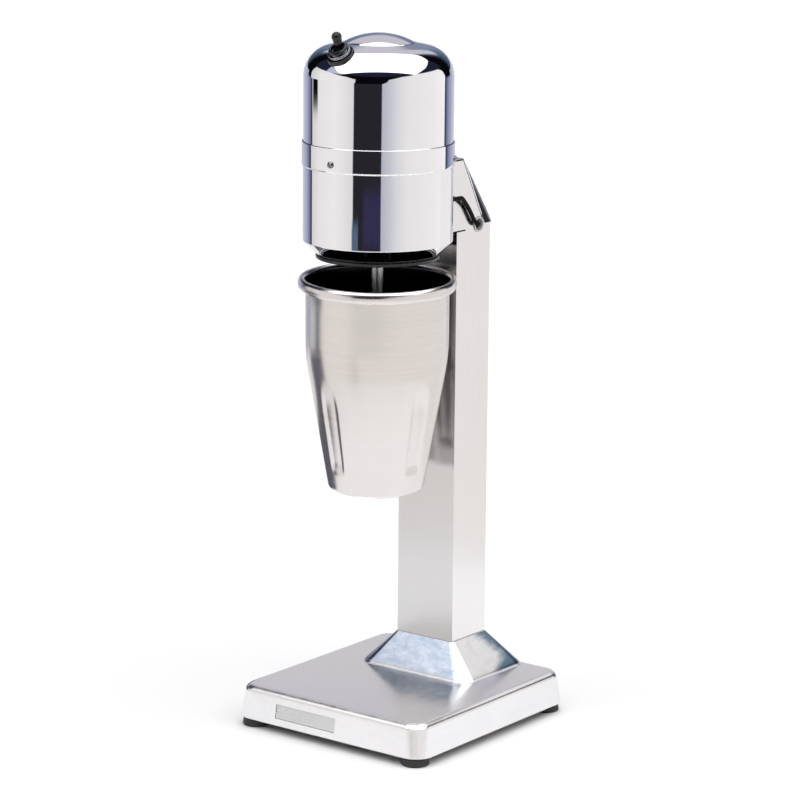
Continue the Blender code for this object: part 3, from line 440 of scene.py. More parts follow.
MOULDED = {
    # dark and light colour, least and most roughness, relief depth, shine
    "rubber": ((0.01, 0.01, 0.011), (0.026, 0.026, 0.027), (0.45, 0.7), 0.00006),
    "pale_rubber": ((0.5, 0.49, 0.49), (0.58, 0.57, 0.57), (0.45, 0.6), 0.00003),
    "cord": ((0.002, 0.002, 0.002), (0.005, 0.005, 0.005), (0.5, 0.7), 0.00003, 0.15),
    "plastic": ((0.006, 0.006, 0.008), (0.014, 0.014, 0.017), (0.2, 0.38), 0.00003),
    "gloss_plastic": ((0.003, 0.003, 0.004), (0.007, 0.007, 0.009), (0.05, 0.12), 0.000004),
    "carbon": ((0.02, 0.02, 0.021), (0.045, 0.045, 0.047), (0.5, 0.75), 0.00008),
}


def new_material(name):
    material = bpy.data.materials.new(name)
    material.use_nodes = True
    tree = material.node_tree
    return material, tree, tree.nodes["Principled BSDF"]


def add_node(tree, kind, settings=None, **inputs):
    """A node with its properties from settings; an input is a value or another node's output."""
    node = tree.nodes.new("ShaderNode" + kind)
    for key, value in (settings or {}).items():
        setattr(node, key, value)
    for key, value in inputs.items():
        socket = node.inputs[int(key[1:])] if key[0] == "i" and key[1:].isdigit() else node.inputs[key]
        if isinstance(value, bpy.types.NodeSocket):
            tree.links.new(value, socket)
        else:
            socket.default_value = value
    return node


def noise(tree, size, detail=4.0, roughness=0.55, stretch=EVEN):
    place = add_node(tree, "TexCoord")
    stretched = add_node(tree, "Mapping", i0=place.outputs["Object"], i3=stretch)
    return add_node(tree, "TexNoise", Vector=stretched.outputs["Vector"], Scale=size, Detail=detail,
                    Roughness=roughness).outputs["Fac"]


def spread(tree, value, low, high, start=0.3, end=0.7):
    """Stretch a texture's middle range onto low to high."""
    return add_node(tree, "MapRange", i0=value, i1=start, i2=end, i3=low, i4=high).outputs["Result"]


def ramp(tree, value, start=0.36, end=0.64):
    return spread(tree, value, 0.0, 1.0, start, end)


def maths(tree, operation, first, second):
    return add_node(tree, "Math", {"operation": operation}, i0=first, i1=second).outputs["Value"]


def times(tree, first, second):
    return maths(tree, "MULTIPLY", first, second)


def plus(tree, first, second):
    return maths(tree, "ADD", first, second)


def blend(tree, share, first, second):
    """Between two colours."""
    return add_node(tree, "Mix", {"data_type": "RGBA"}, i0=share, i6=first, i7=second).outputs[2]


def parts(tree, kind, name):
    """The X, Y and Z of a node's vector."""
    return add_node(tree, "SeparateXYZ", i0=add_node(tree, kind).outputs[name]).outputs


def tint(tree, value, dark, light):
    """A colour between dark and light, picked by a value from 0 to 1."""
    node = add_node(tree, "ValToRGB", i0=value)
    for element, colour in zip(node.color_ramp.elements, (dark, light)):
        element.color = (*colour, 1.0)
    return node.outputs["Color"]


def bump(tree, shader, height, distance, strength=1.0):
    node = add_node(tree, "Bump", Height=height, Distance=distance, Strength=strength)
    tree.links.new(node.outputs["Normal"], shader.inputs["Normal"])


def metal(name, dark, light, roughness, grain, grain_size, relief=0.0, patch_size=40.0):
    """Metal with a directional grain, soft patches of dulling and a faint relief."""
    material, tree, shader = new_material(name)
    patches = noise(tree, patch_size, 5.0)
    lines = noise(tree, grain_size, 3.0, 0.6, grain)
    both = plus(tree, times(tree, patches, 0.45), times(tree, lines, 0.55))
    tree.links.new(spread(tree, both, *roughness, 0.36, 0.64), shader.inputs["Roughness"])
    tree.links.new(tint(tree, ramp(tree, both), dark, light), shader.inputs["Base Color"])
    shader.inputs["Metallic"].default_value = 1.0
    if relief:
        bump(tree, shader, lines, relief, 0.4)
    return material


def moulded(name, dark, light, roughness, relief, shine=0.5):
    """Rubber or plastic: fine moulded texture, dusty patches."""
    material, tree, shader = new_material(name)
    dust = noise(tree, 130.0, 6.0, 0.65)
    tree.links.new(spread(tree, dust, *roughness), shader.inputs["Roughness"])
    tree.links.new(tint(tree, ramp(tree, dust, 0.3, 0.7), dark, light), shader.inputs["Base Color"])
    shader.inputs["Specular IOR Level"].default_value = shine
    bump(tree, shader, noise(tree, 1800.0, 2.0), relief, 0.5)
    return material


def make_materials():
    mats = {name: metal(name, *row) for name, row in METALS.items()}
    mats.update({name: moulded(name, *row) for name, row in MOULDED.items()})
    mats["base_metal"] = base_material()
    shade_column_front(mats["column_metal"])
    paint_wing_shade_and_reflection(mats["wing_painted_shade"])
    return mats


def colour_source(material):
    """A metal's tree, its colour input and what feeds it."""
    tree = material.node_tree
    socket = tree.nodes["Principled BSDF"].inputs["Base Color"]
    return tree, socket, socket.links[0].from_socket


def shade_column_front(material):
    """The column's front face is painted a little darker than its sides: painted shade."""
    tree, socket, brushed = colour_source(material)
    # painted shade: the colour is scaled down on faces whose normal points to the front
    front = spread(tree, parts(tree, "NewGeometry", "Normal")["Y"], 0.79, 1.0, -0.9, -0.3)
    shaded_front = add_node(tree, "VectorMath", {"operation": "SCALE"}, i0=brushed, Scale=front)
    tree.links.new(shaded_front.outputs["Vector"], socket)


def paint_wing_shade_and_reflection(material):
    """The cover's side wings are black along the cheek as painted shade, and pale towards the bent edge as
    a painted reflection.
    """
    tree, socket, black = colour_source(material)
    across = (0.0, COVER_DROP / COVER_SLOPE, COVER_RUN / COVER_SLOPE)
    edge = COVER_BEND_Y * across[1] + COVER_TOP * across[2]
    reach = add_node(tree, "VectorMath", {"operation": "DOT_PRODUCT"},
                     i0=add_node(tree, "TexCoord").outputs["Object"], i1=across).outputs["Value"]
    pale = ramp(tree, reach, edge - 0.0042, edge - 0.0006)
    tree.links.new(blend(tree, pale, black, (0.5, 0.54, 0.66, 1.0)), socket)


def base_material():
    """Cast aluminium: brushed top, polished sides, mottled slopes on the socket with painted reflections
    and painted shade.
    """
    material, tree, shader = new_material("base_metal")
    facing = parts(tree, "NewGeometry", "Normal")
    place = parts(tree, "TexCoord", "Object")
    grain = noise(tree, 14.0, 4.0, 0.65, (60.0, 1.2, 60.0))
    patches = noise(tree, 26.0, 6.0, 0.6)
    mottle = noise(tree, 190.0, 5.0, 0.65)
    clouds = noise(tree, 95.0, 8.0, 0.68, (1.0, 1.0, 2.2))
    streaks = noise(tree, 34.0, 5.0, 0.6, (3.0, 1.0, 3.0))
    mix = plus(tree, times(tree, grain, 0.5), times(tree, patches, 0.5))

    # roughness of the sides, the slopes and the top
    upward = ramp(tree, facing["Z"], 0.88, 0.98)
    sloping = ramp(tree, facing["Z"], 0.22, 0.55)
    lower = add_node(tree, "Mix", {"data_type": "FLOAT"}, i0=sloping,
                     i2=spread(tree, mottle, 0.12, 0.2, 0.35, 0.68),
                     i3=spread(tree, mottle, 0.18, 0.28, 0.35, 0.68))
    rough = add_node(tree, "Mix", {"data_type": "FLOAT"}, i0=upward, i2=lower.outputs[0],
                     i3=spread(tree, mix, 0.14, 0.26, 0.36, 0.64))
    tree.links.new(rough.outputs[0], shader.inputs["Roughness"])

    # painted light on the socket: blue clouds as a painted reflection on the front slope, ragged dark teal
    # bands as painted shade at the right slope's back and foot
    height = maths(tree, "SUBTRACT", place["Z"], BASE_TOP)
    ragged = plus(tree, place["Y"], times(tree, streaks, 0.026))
    behind = plus(tree, ragged, times(tree, height, SOCKET_BACK_LEAN))
    below = maths(tree, "SUBTRACT", ragged, times(tree, height, 2.2))
    bands = maths(tree, "MAXIMUM", ramp(tree, behind, 0.079, 0.089), ramp(tree, below, 0.051, 0.063))
    painted_shade_bands = times(tree, bands, ramp(tree, facing["X"], 0.5, 0.62))
    cloud_share = ramp(tree, clouds, 0.36, 0.66)
    front = tint(tree, cloud_share, (0.31, 0.4, 0.54), (0.57, 0.63, 0.72))
    soft = tint(tree, cloud_share, (0.77, 0.78, 0.81), (0.87, 0.87, 0.875))
    others = blend(tree, painted_shade_bands, soft, (0.07, 0.17, 0.26, 1.0))
    # the front slope takes the blue painted reflection, the other slopes the dark painted shade bands
    forward = spread(tree, facing["Y"], 1.0, 0.0, -0.8, -0.55)
    reflection_and_shade = blend(tree, forward, others, front)
    level = ramp(tree, facing["Z"], 0.97, 0.8)
    on_socket = spread(tree, height, 0.0, 0.9, 0.0003, 0.0014)
    on_slope = times(tree, times(tree, sloping, level), on_socket)
    plain = tint(tree, ramp(tree, mix), (0.82, 0.81, 0.82), (0.88, 0.87, 0.875))
    tree.links.new(blend(tree, on_slope, plain, reflection_and_shade), shader.inputs["Base Color"])
    shader.inputs["Metallic"].default_value = 1.0
    bump(tree, shader, plus(tree, times(tree, grain, 0.4), mottle), 0.000006, 0.35)
    return material


# ---- mesh helpers
def oval(centre_a, centre_b, half_a, half_b, start, end, steps):
    """Points on an oval in a profile's plane, both ends included; angles in degrees."""
    points = []
    for step in range(steps + 1):
        angle = math.radians(start + (end - start) * step / steps)
        points.append((centre_a + half_a * math.cos(angle), centre_b + half_b * math.sin(angle)))
    return points


def arc(centre_a, centre_b, radius, start, end, steps):
    return oval(centre_a, centre_b, radius, radius, start, end, steps)


def rounded(points, steps=5, closed=True):
    """Round a flat outline's corners; each point is (a, b) or (a, b, corner radius)."""
    result = []
    count = len(points)
    for index, point in enumerate(points):
        here = Vector(point[:2])
        radius = point[2] if len(point) > 2 else 0.0
        at_end = not closed and index in (0, count - 1)
        if radius <= 0.0 or at_end:
            result.append(tuple(here))
            continue
        to_before = (Vector(points[index - 1][:2]) - here)
        to_after = (Vector(points[(index + 1) % count][:2]) - here)
        room = min(to_before.length, to_after.length)
        half = to_before.angle(to_after) / 2.0
        cut = min(radius / math.tan(half), room * 0.499)
        radius = cut * math.tan(half)
        inward = (to_before.normalized() + to_after.normalized()).normalized()
        centre = here + inward * (radius / math.sin(half))
        first = here + to_before.normalized() * cut - centre
        last = here + to_after.normalized() * cut - centre
        turn = first.angle_signed(last)
        for step in range(steps + 1):
            angle = -turn * step / steps
            spun = Vector((first.x * math.cos(angle) - first.y * math.sin(angle),
                           first.x * math.sin(angle) + first.y * math.cos(angle)))
            result.append(tuple(centre + spun))
    return result


def turned_mesh(profile, segments):
    """Spin a closed (radius, z) outline about the Z axis."""
    bm = bmesh.new()
    verts = [bm.verts.new((max(radius, 0.0), 0.0, z)) for radius, z in profile]
    edges = []
    for first, second in zip(verts, verts[1:] + verts[:1]):
        if first.co.x > 1e-9 or second.co.x > 1e-9:
            edges.append(bm.edges.new((first, second)))
    bmesh.ops.spin(bm, geom=verts + edges, cent=(0.0, 0.0, 0.0), axis=(0.0, 0.0, 1.0),
                   angle=2.0 * math.pi, steps=segments, use_merge=True)
    bmesh.ops.remove_doubles(bm, verts=bm.verts, dist=1e-7)
    return bm


def rounded_rectangle(centre_y, half_x, half_y, corner, steps):
    points = []
    for index, (side_x, side_y) in enumerate(((1, 1), (-1, 1), (-1, -1), (1, -1))):
        points += arc(side_x * (half_x - corner), centre_y + side_y * (half_y - corner), corner,
                      90.0 * index, 90.0 * (index + 1), steps)
    return points


def skin(rows, capped=True):
    """Join rows of places, all with the same count, into a tube."""
    bm = bmesh.new()
    rings = [[bm.verts.new(place) for place in row] for row in rows]
    for lower, upper in zip(rings, rings[1:]):
        for index in range(len(lower)):
            after = (index + 1) % len(lower)
            bm.faces.new((lower[index], lower[after], upper[after], upper[index]))
    if capped:
        bm.faces.new(list(reversed(rings[0])))
        bm.faces.new(rings[-1])
    return bm


def loft_mesh(rings):
    """Skin a stack of outlines; each ring is (points, z)."""
    return skin([[(x, y, z) for x, y in points] for points, z in rings])


def prism_mesh(outline, half_width):
    """Extrude a (y, z) outline along X, as far on both sides."""
    return skin([[(x, y, z) for y, z in outline] for x in (-half_width, half_width)])


def plain_object(name, bm, sharp=35.0):
    bmesh.ops.recalc_face_normals(bm, faces=bm.faces)
    mesh = bpy.data.meshes.new(name)
    bm.to_mesh(mesh)
    bm.free()
    mesh.shade_smooth()
    mesh.set_sharp_from_angle(angle=math.radians(sharp))
    return new_object(name, mesh)


def piece(name, bm, material, body, slot, nodes, place=None, sharp=35.0):
    """A finished piece: shaded, placed, riding on its body and standing for its CAD nodes."""
    return finish_piece(plain_object(name, bm, sharp), material, body, nodes, place)


def turned_piece(name, profile, segments, material, body, slot, nodes, place, corner_steps=4, sharp=35.0):
    """A piece turned from an outline with rounded corners."""
    bm = turned_mesh(rounded(profile, corner_steps), segments)
    return piece(name, bm, material, body, slot, nodes, place, sharp)


def even_normals(item):
    """Let the large faces decide the shading next to narrow roundings."""
    modifier = item.modifiers.new("normals", "WEIGHTED_NORMAL")
    modifier.keep_sharp = True


def finish_piece(item, material, body, nodes, place=None):
    item.data.materials.append(material)
    if place is not None:
        item.matrix_world = place
    even_normals(item)
    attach(item, body)
    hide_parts(*nodes)
    return item


def carve(item, shape, operation="DIFFERENCE"):
    """Cut one shape out of an item for good, or join it on, and drop the shape."""
    modifier = item.modifiers.new("carve", "BOOLEAN")
    modifier.object = shape
    modifier.operation = operation
    bpy.context.view_layer.update()
    result = bpy.data.meshes.new_from_object(item.evaluated_get(bpy.context.evaluated_depsgraph_get()))
    item.modifiers.clear()
    item.data = result
    item.data.set_sharp_from_angle(angle=math.radians(35.0))
    bpy.data.objects.remove(shape)


def axis_place(position, direction):
    turn = Vector((0.0, 0.0, 1.0)).rotation_difference(Vector(direction)).to_matrix().to_4x4()
    return Matrix.Translation(position) @ turn


# ---- housing
def dome_line(inset):
    """The dome's line from the skirt to the apex, moved inwards by inset."""
    centre = DOME_RADIUS - SHOULDER_RADIUS
    points = arc(centre, SHOULDER_Z, SHOULDER_RADIUS - inset, 0.0, 79.0, 22)
    rise = APEX_Z - CROWN_BASE_Z
    crown = (CROWN_RADIUS ** 2 + rise ** 2) / (2.0 * rise)
    crown_angle = math.degrees(math.asin(CROWN_RADIUS / crown))
    crease = arc(0.0, APEX_Z - crown, crown - inset, 90.0 - crown_angle, 90.0, 18)
    foot = Vector(crease[0])
    groove = [points[-1], (foot.x + 0.00045, foot.y - 0.00008, 0.0002),
              (foot.x + 0.0001, foot.y - 0.00035, 0.00015), (foot.x - 0.0003, foot.y + 0.0001, 0.0002),
              crease[1]]
    points += rounded(groove, 3, closed=False)[1:] + crease[2:]
    points[-1] = (0.0, APEX_Z - inset)
    return points


def make_dome(mats):
    skirt = BAND_BOTTOM + 0.0012
    outer = [(DOME_RADIUS, skirt)] + dome_line(0.0)
    inner = [(DOME_RADIUS - SHEET, skirt)] + dome_line(SHEET)
    piece("dome_shell", turned_mesh(outer + list(reversed(inner)), 160), mats["chrome"], "stand", "chrome",
          ["dome_cap"], ON_AXIS, 28.0)


def make_casing(mats):
    inner = HOUSING_RADIUS - SHEET
    flange = HOUSING_BOTTOM + SHEET
    lap = BAND_RADIUS - 0.0007
    profile = [
        (0.036, HOUSING_BOTTOM), (CHAMFER_RADIUS, HOUSING_BOTTOM, 0.0008),
        (HOUSING_RADIUS, CHAMFER_TOP, 0.0009), (HOUSING_RADIUS, BAND_BOTTOM - 0.0007, 0.0006),
        (BAND_RADIUS, BAND_BOTTOM, 0.0006), (BAND_RADIUS, BAND_TOP, 0.00035), (lap, BAND_TOP, 0.0002),
        (lap, BAND_BOTTOM + 0.0006), (inner, BAND_BOTTOM - 0.0002), (inner, CHAMFER_TOP + 0.0004),
        (CHAMFER_RADIUS - 0.0004, flange), (0.036, flange)]
    turned_piece("casing_shell", profile, 160, mats["chrome"], "stand", "chrome", ["motor_casing"], ON_AXIS,
                 5, 50.0)
    low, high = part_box("splash_plate")
    guard = [(0.0046, low.z), (0.0088, low.z, 0.001), (0.0126, SPLASH_PLATE_UNDERSIDE, 0.002),
             (SPLASH_PLATE_RADIUS - 0.0004, SPLASH_PLATE_UNDERSIDE, 0.0006),
             (SPLASH_PLATE_RADIUS, high.z, 0.0002), (0.0046, high.z)]
    turned_piece("splash_guard", guard, 96, mats["plastic"], "stand", "black_plastic", ["splash_plate"],
                 ON_AXIS)


# ---- cup
def cup_line(inset, steps):
    """From the middle of the cup's floor up its wall, moved inwards by inset."""
    wall = CUP_RADIUS - inset
    knee = arc(wall - CUP_KNEE_RADIUS, -CUP_STRAIGHT, CUP_KNEE_RADIUS, -math.degrees(CUP_TAPER), 0.0, 16)
    floor = -CUP_DEPTH + inset
    corner_z = floor + CUP_CORNER
    corner_r = knee[0][0] - (knee[0][1] - corner_z) * math.tan(CUP_TAPER)
    corner = arc(corner_r - CUP_CORNER, corner_z, CUP_CORNER, -90.0, -math.degrees(CUP_TAPER), 6)
    taper = []
    for step in range(1, steps):
        share = step / steps
        taper.append((corner[-1][0] + (knee[0][0] - corner[-1][0]) * share,
                      corner[-1][1] + (knee[0][1] - corner[-1][1]) * share))
    straight = [(wall, -CUP_STRAIGHT + (CUP_STRAIGHT - RIM_FLARE) * share) for share in (0.35, 0.7)]
    return [(0.0, floor)] + corner + taper + knee + straight


def press_flutes(bm):
    """Four shallow upright flutes pressed into the tapered wall."""
    for vert in bm.verts:
        radius = math.hypot(vert.co.x, vert.co.y)
        if radius < 0.01:
            continue
        angle = math.degrees(math.atan2(vert.co.y, vert.co.x))
        aside = abs((angle - FLUTE_CENTRE + 45.0) % 90.0 - 45.0)
        arch = FLUTE_TOP - 0.01 * (aside / FLUTE_HALF) ** 2
        share = smooth_step(vert.co.z, FLUTE_BOTTOM, FLUTE_BOTTOM + 0.008)
        share *= 1.0 - smooth_step(vert.co.z, arch - 0.022, arch)
        share *= smooth_step(FLUTE_HALF - aside, 0.0, 5.0)
        scale = 1.0 - FLUTE_DEPTH * share / radius
        vert.co.x *= scale
        vert.co.y *= scale


def make_cup(mats):
    profile = cup_line(0.0, 36) + [(CUP_RADIUS, -RIM_FLARE)]
    profile += oval(RIM_CENTRE_RADIUS, -RIM_CENTRE_DROP, RIM_HALF_WIDTH - RIM_SHEET,
                    RIM_HALF_HEIGHT - RIM_SHEET, 180.0, -60.0, 16)
    profile += oval(RIM_CENTRE_RADIUS, -RIM_CENTRE_DROP, RIM_HALF_WIDTH, RIM_HALF_HEIGHT, -60.0, 180.0, 26)
    profile += [(CUP_RADIUS - CUP_WALL, -RIM_FLARE)] + list(reversed(cup_line(CUP_WALL, 36)))
    bm = turned_mesh(profile, 240)
    press_flutes(bm)
    lean = Matrix.Rotation(CUP_TILT, 4, heading(CUP_TILT_TOWARDS))
    place = Matrix.Translation((0.0, HOUSING_Y, RIM_Z)) @ lean
    cup = piece("malt_cup", bm, mats["cup_steel"], "cup", "satin_steel", ["cup"], place, 50.0)
    # the inside wall and the floor get the near-black inside material: painted shade inside the cup
    cup.data.materials.append(mats["cup_inside_painted_shade"])
    for face in cup.data.polygons:
        centre = face.center
        outward = centre.x * face.normal.x + centre.y * face.normal.y
        inside = outward < 0.0 and math.hypot(centre.x, centre.y) < RIM_CENTRE_RADIUS - RIM_HALF_WIDTH * 0.6
        floor = face.normal.z > 0.7 and centre.z < -RIM_FLARE
        if inside and centre.z < 0.0008 or floor:
            face.material_index = 1


# ---- base and column
def base_ring(inset, z):
    corner = BASE_CORNER - inset * 0.6
    return rounded_rectangle(0.0, BASE_HALF_X - inset, BASE_HALF_Y - inset, corner, 10), z


def front_face_y(z):
    """Where the base's drafted front face stands at this height."""
    return -BASE_HALF_Y + BASE_DRAFT * (z - DRAFT_BOTTOM) / (DRAFT_TOP - DRAFT_BOTTOM)


def make_base(mats):
    skin = rounded([(0.001, BASE_UNDERSIDE), (0.0, BASE_UNDERSIDE + 0.0008, 0.0008),
                    (BASE_DRAFT + 0.0004, BASE_TOP, BASE_EDGE), (0.016, BASE_TOP)], 10, closed=False)
    casting = plain_object("base_body", loft_mesh([base_ring(inset, z) for inset, z in skin]))
    carve(casting, plain_object("flange", loft_mesh(socket_rings())), "UNION")
    hollow = loft_mesh([base_ring(0.0035, BASE_UNDERSIDE - 0.001), base_ring(0.0065, BASE_HOLLOW_TOP)])
    carve(casting, plain_object("hollow", hollow))
    pocket = rounded_rectangle((COLUMN_FRONT + COLUMN_BACK) / 2, COLUMN_HALF + GAP,
                               (COLUMN_BACK - COLUMN_FRONT) / 2 + GAP, 0.0004, 2)
    carve(casting, plain_object("pocket", loft_mesh([(pocket, SOCKET_FLOOR), (pocket, POCKET_TOP)])))
    low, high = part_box("badge_plate")
    bottom = low.z - GAP
    top = high.z + GAP
    seat = prism_mesh([(front_face_y(bottom) - 0.002, bottom), (front_face_y(top) - 0.002, top),
                       (front_face_y(top) + 0.0012, top), (front_face_y(bottom) + 0.0012, bottom)],
                      (high.x - low.x) / 2 + GAP)
    bmesh.ops.translate(seat, verts=seat.verts, vec=((low.x + high.x) / 2, 0.0, 0.0))
    carve(casting, plain_object("badge_seat", seat))
    casting.data.set_sharp_from_angle(angle=math.radians(30.0))
    finish_piece(casting, mats["base_metal"], "stand", ["base_casting"])


def socket_rings():
    """The socket's flared foot: a small fillet on the base, then four flat slopes to the column."""
    stations = [(-0.1, -0.002), (-0.1, 0.0002), (-0.075, 0.0004), (-0.045, 0.0008), (-0.015, 0.0016),
                (0.015, 0.0025)]
    rise = SOCKET_TOP - BASE_TOP - 0.0025
    stations += [(0.015 + 0.985 * step / 10, 0.0025 + rise * step / 10) for step in range(1, 11)]
    rings = []
    for share, height in stations:
        half_x, front, back, corner = (a + (b - a) * share for a, b in zip(SOCKET_FOOT, SOCKET_HEAD))
        outline = rounded_rectangle((front + back) / 2, half_x, (back - front) / 2, corner, 8)
        rings.append((outline, BASE_TOP + height))
    return rings


def make_feet(mats):
    rim = BASE_UNDERSIDE - GAP
    profile = [(0.0055, 0.0), (0.0092, 0.0, 0.0006), (0.0098, 0.0008, 0.0004), (0.0092, rim, 0.001),
               (0.0062, rim), (0.0062, 0.0069), (0.0018, 0.0069), (0.0018, 0.0026),
               (0.0055, 0.0026, 0.0004)]
    for end, y in (("front", -FOOT_Y), ("rear", FOOT_Y)):
        for side, x in (("left", -FOOT_X), ("right", FOOT_X)):
            label = end + "_" + side
            turned_piece("rubber_foot_" + label, profile, 48, mats["rubber"], "stand", "rubber",
                         ["foot_" + label], Matrix.Translation((x, y, 0.0)))


def slope_point(depth, height):
    """The y where the cover's outer slope, moved inwards by depth, stands at this height."""
    bend_y = COVER_BEND_Y - depth * COVER_DROP / COVER_SLOPE
    return bend_y + (COVER_TOP - depth * COVER_RUN / COVER_SLOPE - height) * COVER_RUN / COVER_DROP


def slope_height(depth, y):
    return COVER_TOP - (y - slope_point(depth, COVER_TOP)) * (COVER_DROP / COVER_RUN)


def make_cover(mats):
    """The bent cover behind the housing, with soft long edges."""
    half = COLUMN_HALF + GAP + 0.0008
    underside = COVER_TOP - COVER_THICK
    outline = [(CHEEK_FRONT - 0.001, 0.34), (COVER_HEEL_Y, 0.34), (COVER_HEEL_Y, COVER_HEEL_Z),
               (COVER_BEND_Y, COVER_TOP), (CHEEK_FRONT - 0.001, COVER_TOP)]
    bm = prism_mesh(outline, half)
    long_edges = []
    for edge in bm.edges:
        first, second = edge.verts
        beside = abs(first.co.x - second.co.x) < 1e-6
        if beside and min(first.co.z, second.co.z) > 0.339 and first.co.z + second.co.z > 0.681:
            if max(first.co.y, second.co.y) > CHEEK_FRONT + 0.001:
                long_edges.append(edge)
    bmesh.ops.bevel(bm, geom=long_edges, offset=COVER_EDGE, segments=7, profile=0.5, affect="EDGES",
                    clamp_overlap=True)
    cover = plain_object("cover_shell", bm)
    lip_y = COLUMN_BACK + GAP
    inside = [(CHEEK_FRONT - 0.005, 0.33), (lip_y, 0.33), (lip_y, slope_height(COVER_THICK, lip_y)),
              (slope_point(COVER_THICK, underside), underside), (CHEEK_FRONT - 0.005, underside)]
    carve(cover, plain_object("cover_inside", prism_mesh(inside, COLUMN_HALF + GAP)))
    open_side = [(WING_FRONT, COVER_END_Z), (slope_point(COVER_THICK, underside), underside),
                 (CHEEK_FRONT - 0.008, underside), (CHEEK_FRONT - 0.008, 0.33), (0.08, 0.33),
                 (0.08, COVER_END_Z)]
    carve(cover, plain_object("cover_open", prism_mesh(open_side, 0.04)))
    reach = HOUSING_RADIUS + 0.0004
    notch = [(0.0, 0.34), (reach, 0.34), (reach, 0.41), (0.0, 0.41)]
    cutter = plain_object("cover_notch", turned_mesh(notch, 160))
    cutter.matrix_world = ON_AXIS
    carve(cover, cutter)
    finish_piece(cover, mats["chrome"], "stand", ["head_cover"])
    # the side faces get the wing material: black painted shade with a pale painted reflection towards the
    # bent edge
    cover.data.materials.append(mats["wing_painted_shade"])
    for face in cover.data.polygons:
        if abs(face.normal.x) > 0.98 and abs(face.center.x) > COLUMN_HALF + GAP + 0.0004:
            face.material_index = 1


# ---- screws, switch, lead, agitator
def slotted_screw(name, node, place, radius, height, shank, length, mats):
    profile = rounded([(0.0, -length), (shank, -length, 0.0003), (shank, 0.0), (radius, 0.0, 0.0001),
                       (radius, height * 0.5, 0.0004), (radius * 0.62, height, 0.0006), (0.0, height)], 4)
    screw = plain_object(name, turned_mesh(profile, 40))
    half = radius * 0.14
    slot = [(-half, height * 0.4), (half, height * 0.4), (half, height * 2.0), (-half, height * 2.0)]
    carve(screw, plain_object("slot", prism_mesh(slot, radius * 1.2)))
    finish_piece(screw, mats["dark_zinc"], "stand", [node], place)


def make_screws(mats):
    for label, degrees in (("front", -90.0), ("right", 30.0), ("left", 150.0)):
        out = heading(math.radians(degrees))
        spot = AXIS + out * (BAND_RADIUS + GAP) + Vector((0.0, 0.0, SCREW_Z))
        place = axis_place(spot, out) @ Matrix.Rotation(math.radians(35.0 + degrees), 4, "Z")
        slotted_screw("casing_pin_" + label, "casing_screw_" + label, place, 0.0023, 0.0011, 0.0013, 0.005,
                      mats)
    place = Matrix.Translation((0.0, 0.0255, COVER_TOP + GAP)) @ Matrix.Rotation(0.6, 4, "Z")
    slotted_screw("cover_pin", "cover_screw", place, 0.0028, 0.0014, 0.0014, 0.0075, mats)
    for label, z, turn in (("upper", 0.308, 0.4), ("lower", 0.292, 1.3)):
        place = axis_place((0.0, 0.024 - GAP, z), (0.0, -1.0, 0.0)) @ Matrix.Rotation(turn, 4, "Z")
        slotted_screw("hanger_pin_" + label, "hanger_screw_" + label, place, 0.0028, 0.0013, 0.0013, 0.009,
                      mats)


def switch_place():
    cosine = (SWITCH_OUT - (DOME_RADIUS - SHOULDER_RADIUS)) / SHOULDER_RADIUS
    height = SHOULDER_Z + SHOULDER_RADIUS * math.sqrt(1.0 - cosine ** 2)
    lean = Matrix.Rotation(math.asin(cosine), 4, "X")
    return Matrix.Translation((0.0, HOUSING_Y - SWITCH_OUT, height)) @ lean


def make_switch(mats):
    """Gasket, nut, threaded bushing, boot and bat lever, all on one leaning axis."""
    seat = switch_place()
    washer = [(0.0063, -0.0035), (0.0095, -0.0035), (0.0095, 0.0009, 0.0007), (0.0063, 0.0009, 0.0002)]
    gasket = plain_object("switch_washer", turned_mesh(rounded(washer, 4), 64))
    gasket.matrix_world = seat
    inner = [(0.0, SHOULDER_Z - 0.02), (DOME_RADIUS + GAP, SHOULDER_Z - 0.02)] + dome_line(-GAP)
    inner[-1] = (0.0, APEX_Z + GAP)
    cutter = plain_object("dome_solid", turned_mesh(inner, 160))
    cutter.matrix_world = ON_AXIS
    carve(gasket, cutter)
    finish_piece(gasket, mats["gloss_plastic"], "stand", ["switch_gasket"])
    nut = [(0.0061, 0.0012), (0.008, 0.0012, 0.0005), (0.008, 0.0033, 0.0008), (0.0061, 0.0033, 0.0002)]
    turned_piece("switch_ring", nut, 64, mats["dark_chrome"], "stand", "dark_chrome", ["switch_nut"], seat)
    thread = [(0.0043, -0.004), (0.0058, -0.004, 0.0003)]
    for step in range(12):
        z = -0.0034 + 0.0006 * step
        thread += [(0.0058, z), (0.0055, z + 0.0003)]
    thread += [(0.0058, 0.004, 0.0003), (0.0043, 0.004, 0.0003)]
    turned_piece("switch_sleeve", thread, 48, mats["dark_chrome"], "stand", "dark_chrome",
                 ["switch_bushing"], seat, 3)
    boot = [(0.0047, 0.0043), (0.0067, 0.0043, 0.0003), (0.0067, 0.0055, 0.0006), (0.0057, 0.0064, 0.0006),
            (0.0047, 0.0064, 0.0003)]
    turned_piece("switch_collar", boot, 48, mats["gloss_plastic"], "stand", "rubber", ["switch_boot"], seat)
    lever = arc(0.0, 0.0, 0.0031, -90.0, 40.0, 12)
    lever[0] = (0.0, -0.0031)
    lever += [(0.00235, 0.0032), (0.0023, 0.0044), (0.0024, 0.0062), (0.0027, 0.0085), (0.0031, 0.0108)]
    lever += arc(0.0, 0.0136, 0.0034, -28.0, 90.0, 16)
    lever[-1] = (0.0, 0.017)
    pivot = Matrix.Translation((0.0, 0.0, -LEVER_PIVOT_DEPTH)) @ Matrix.Rotation(-LEVER_THROW, 4, "X")
    piece("bat_lever", turned_mesh(lever, 48), mats["gloss_plastic"], "switch_lever", "black_plastic",
          ["toggle_lever"], seat @ pivot)


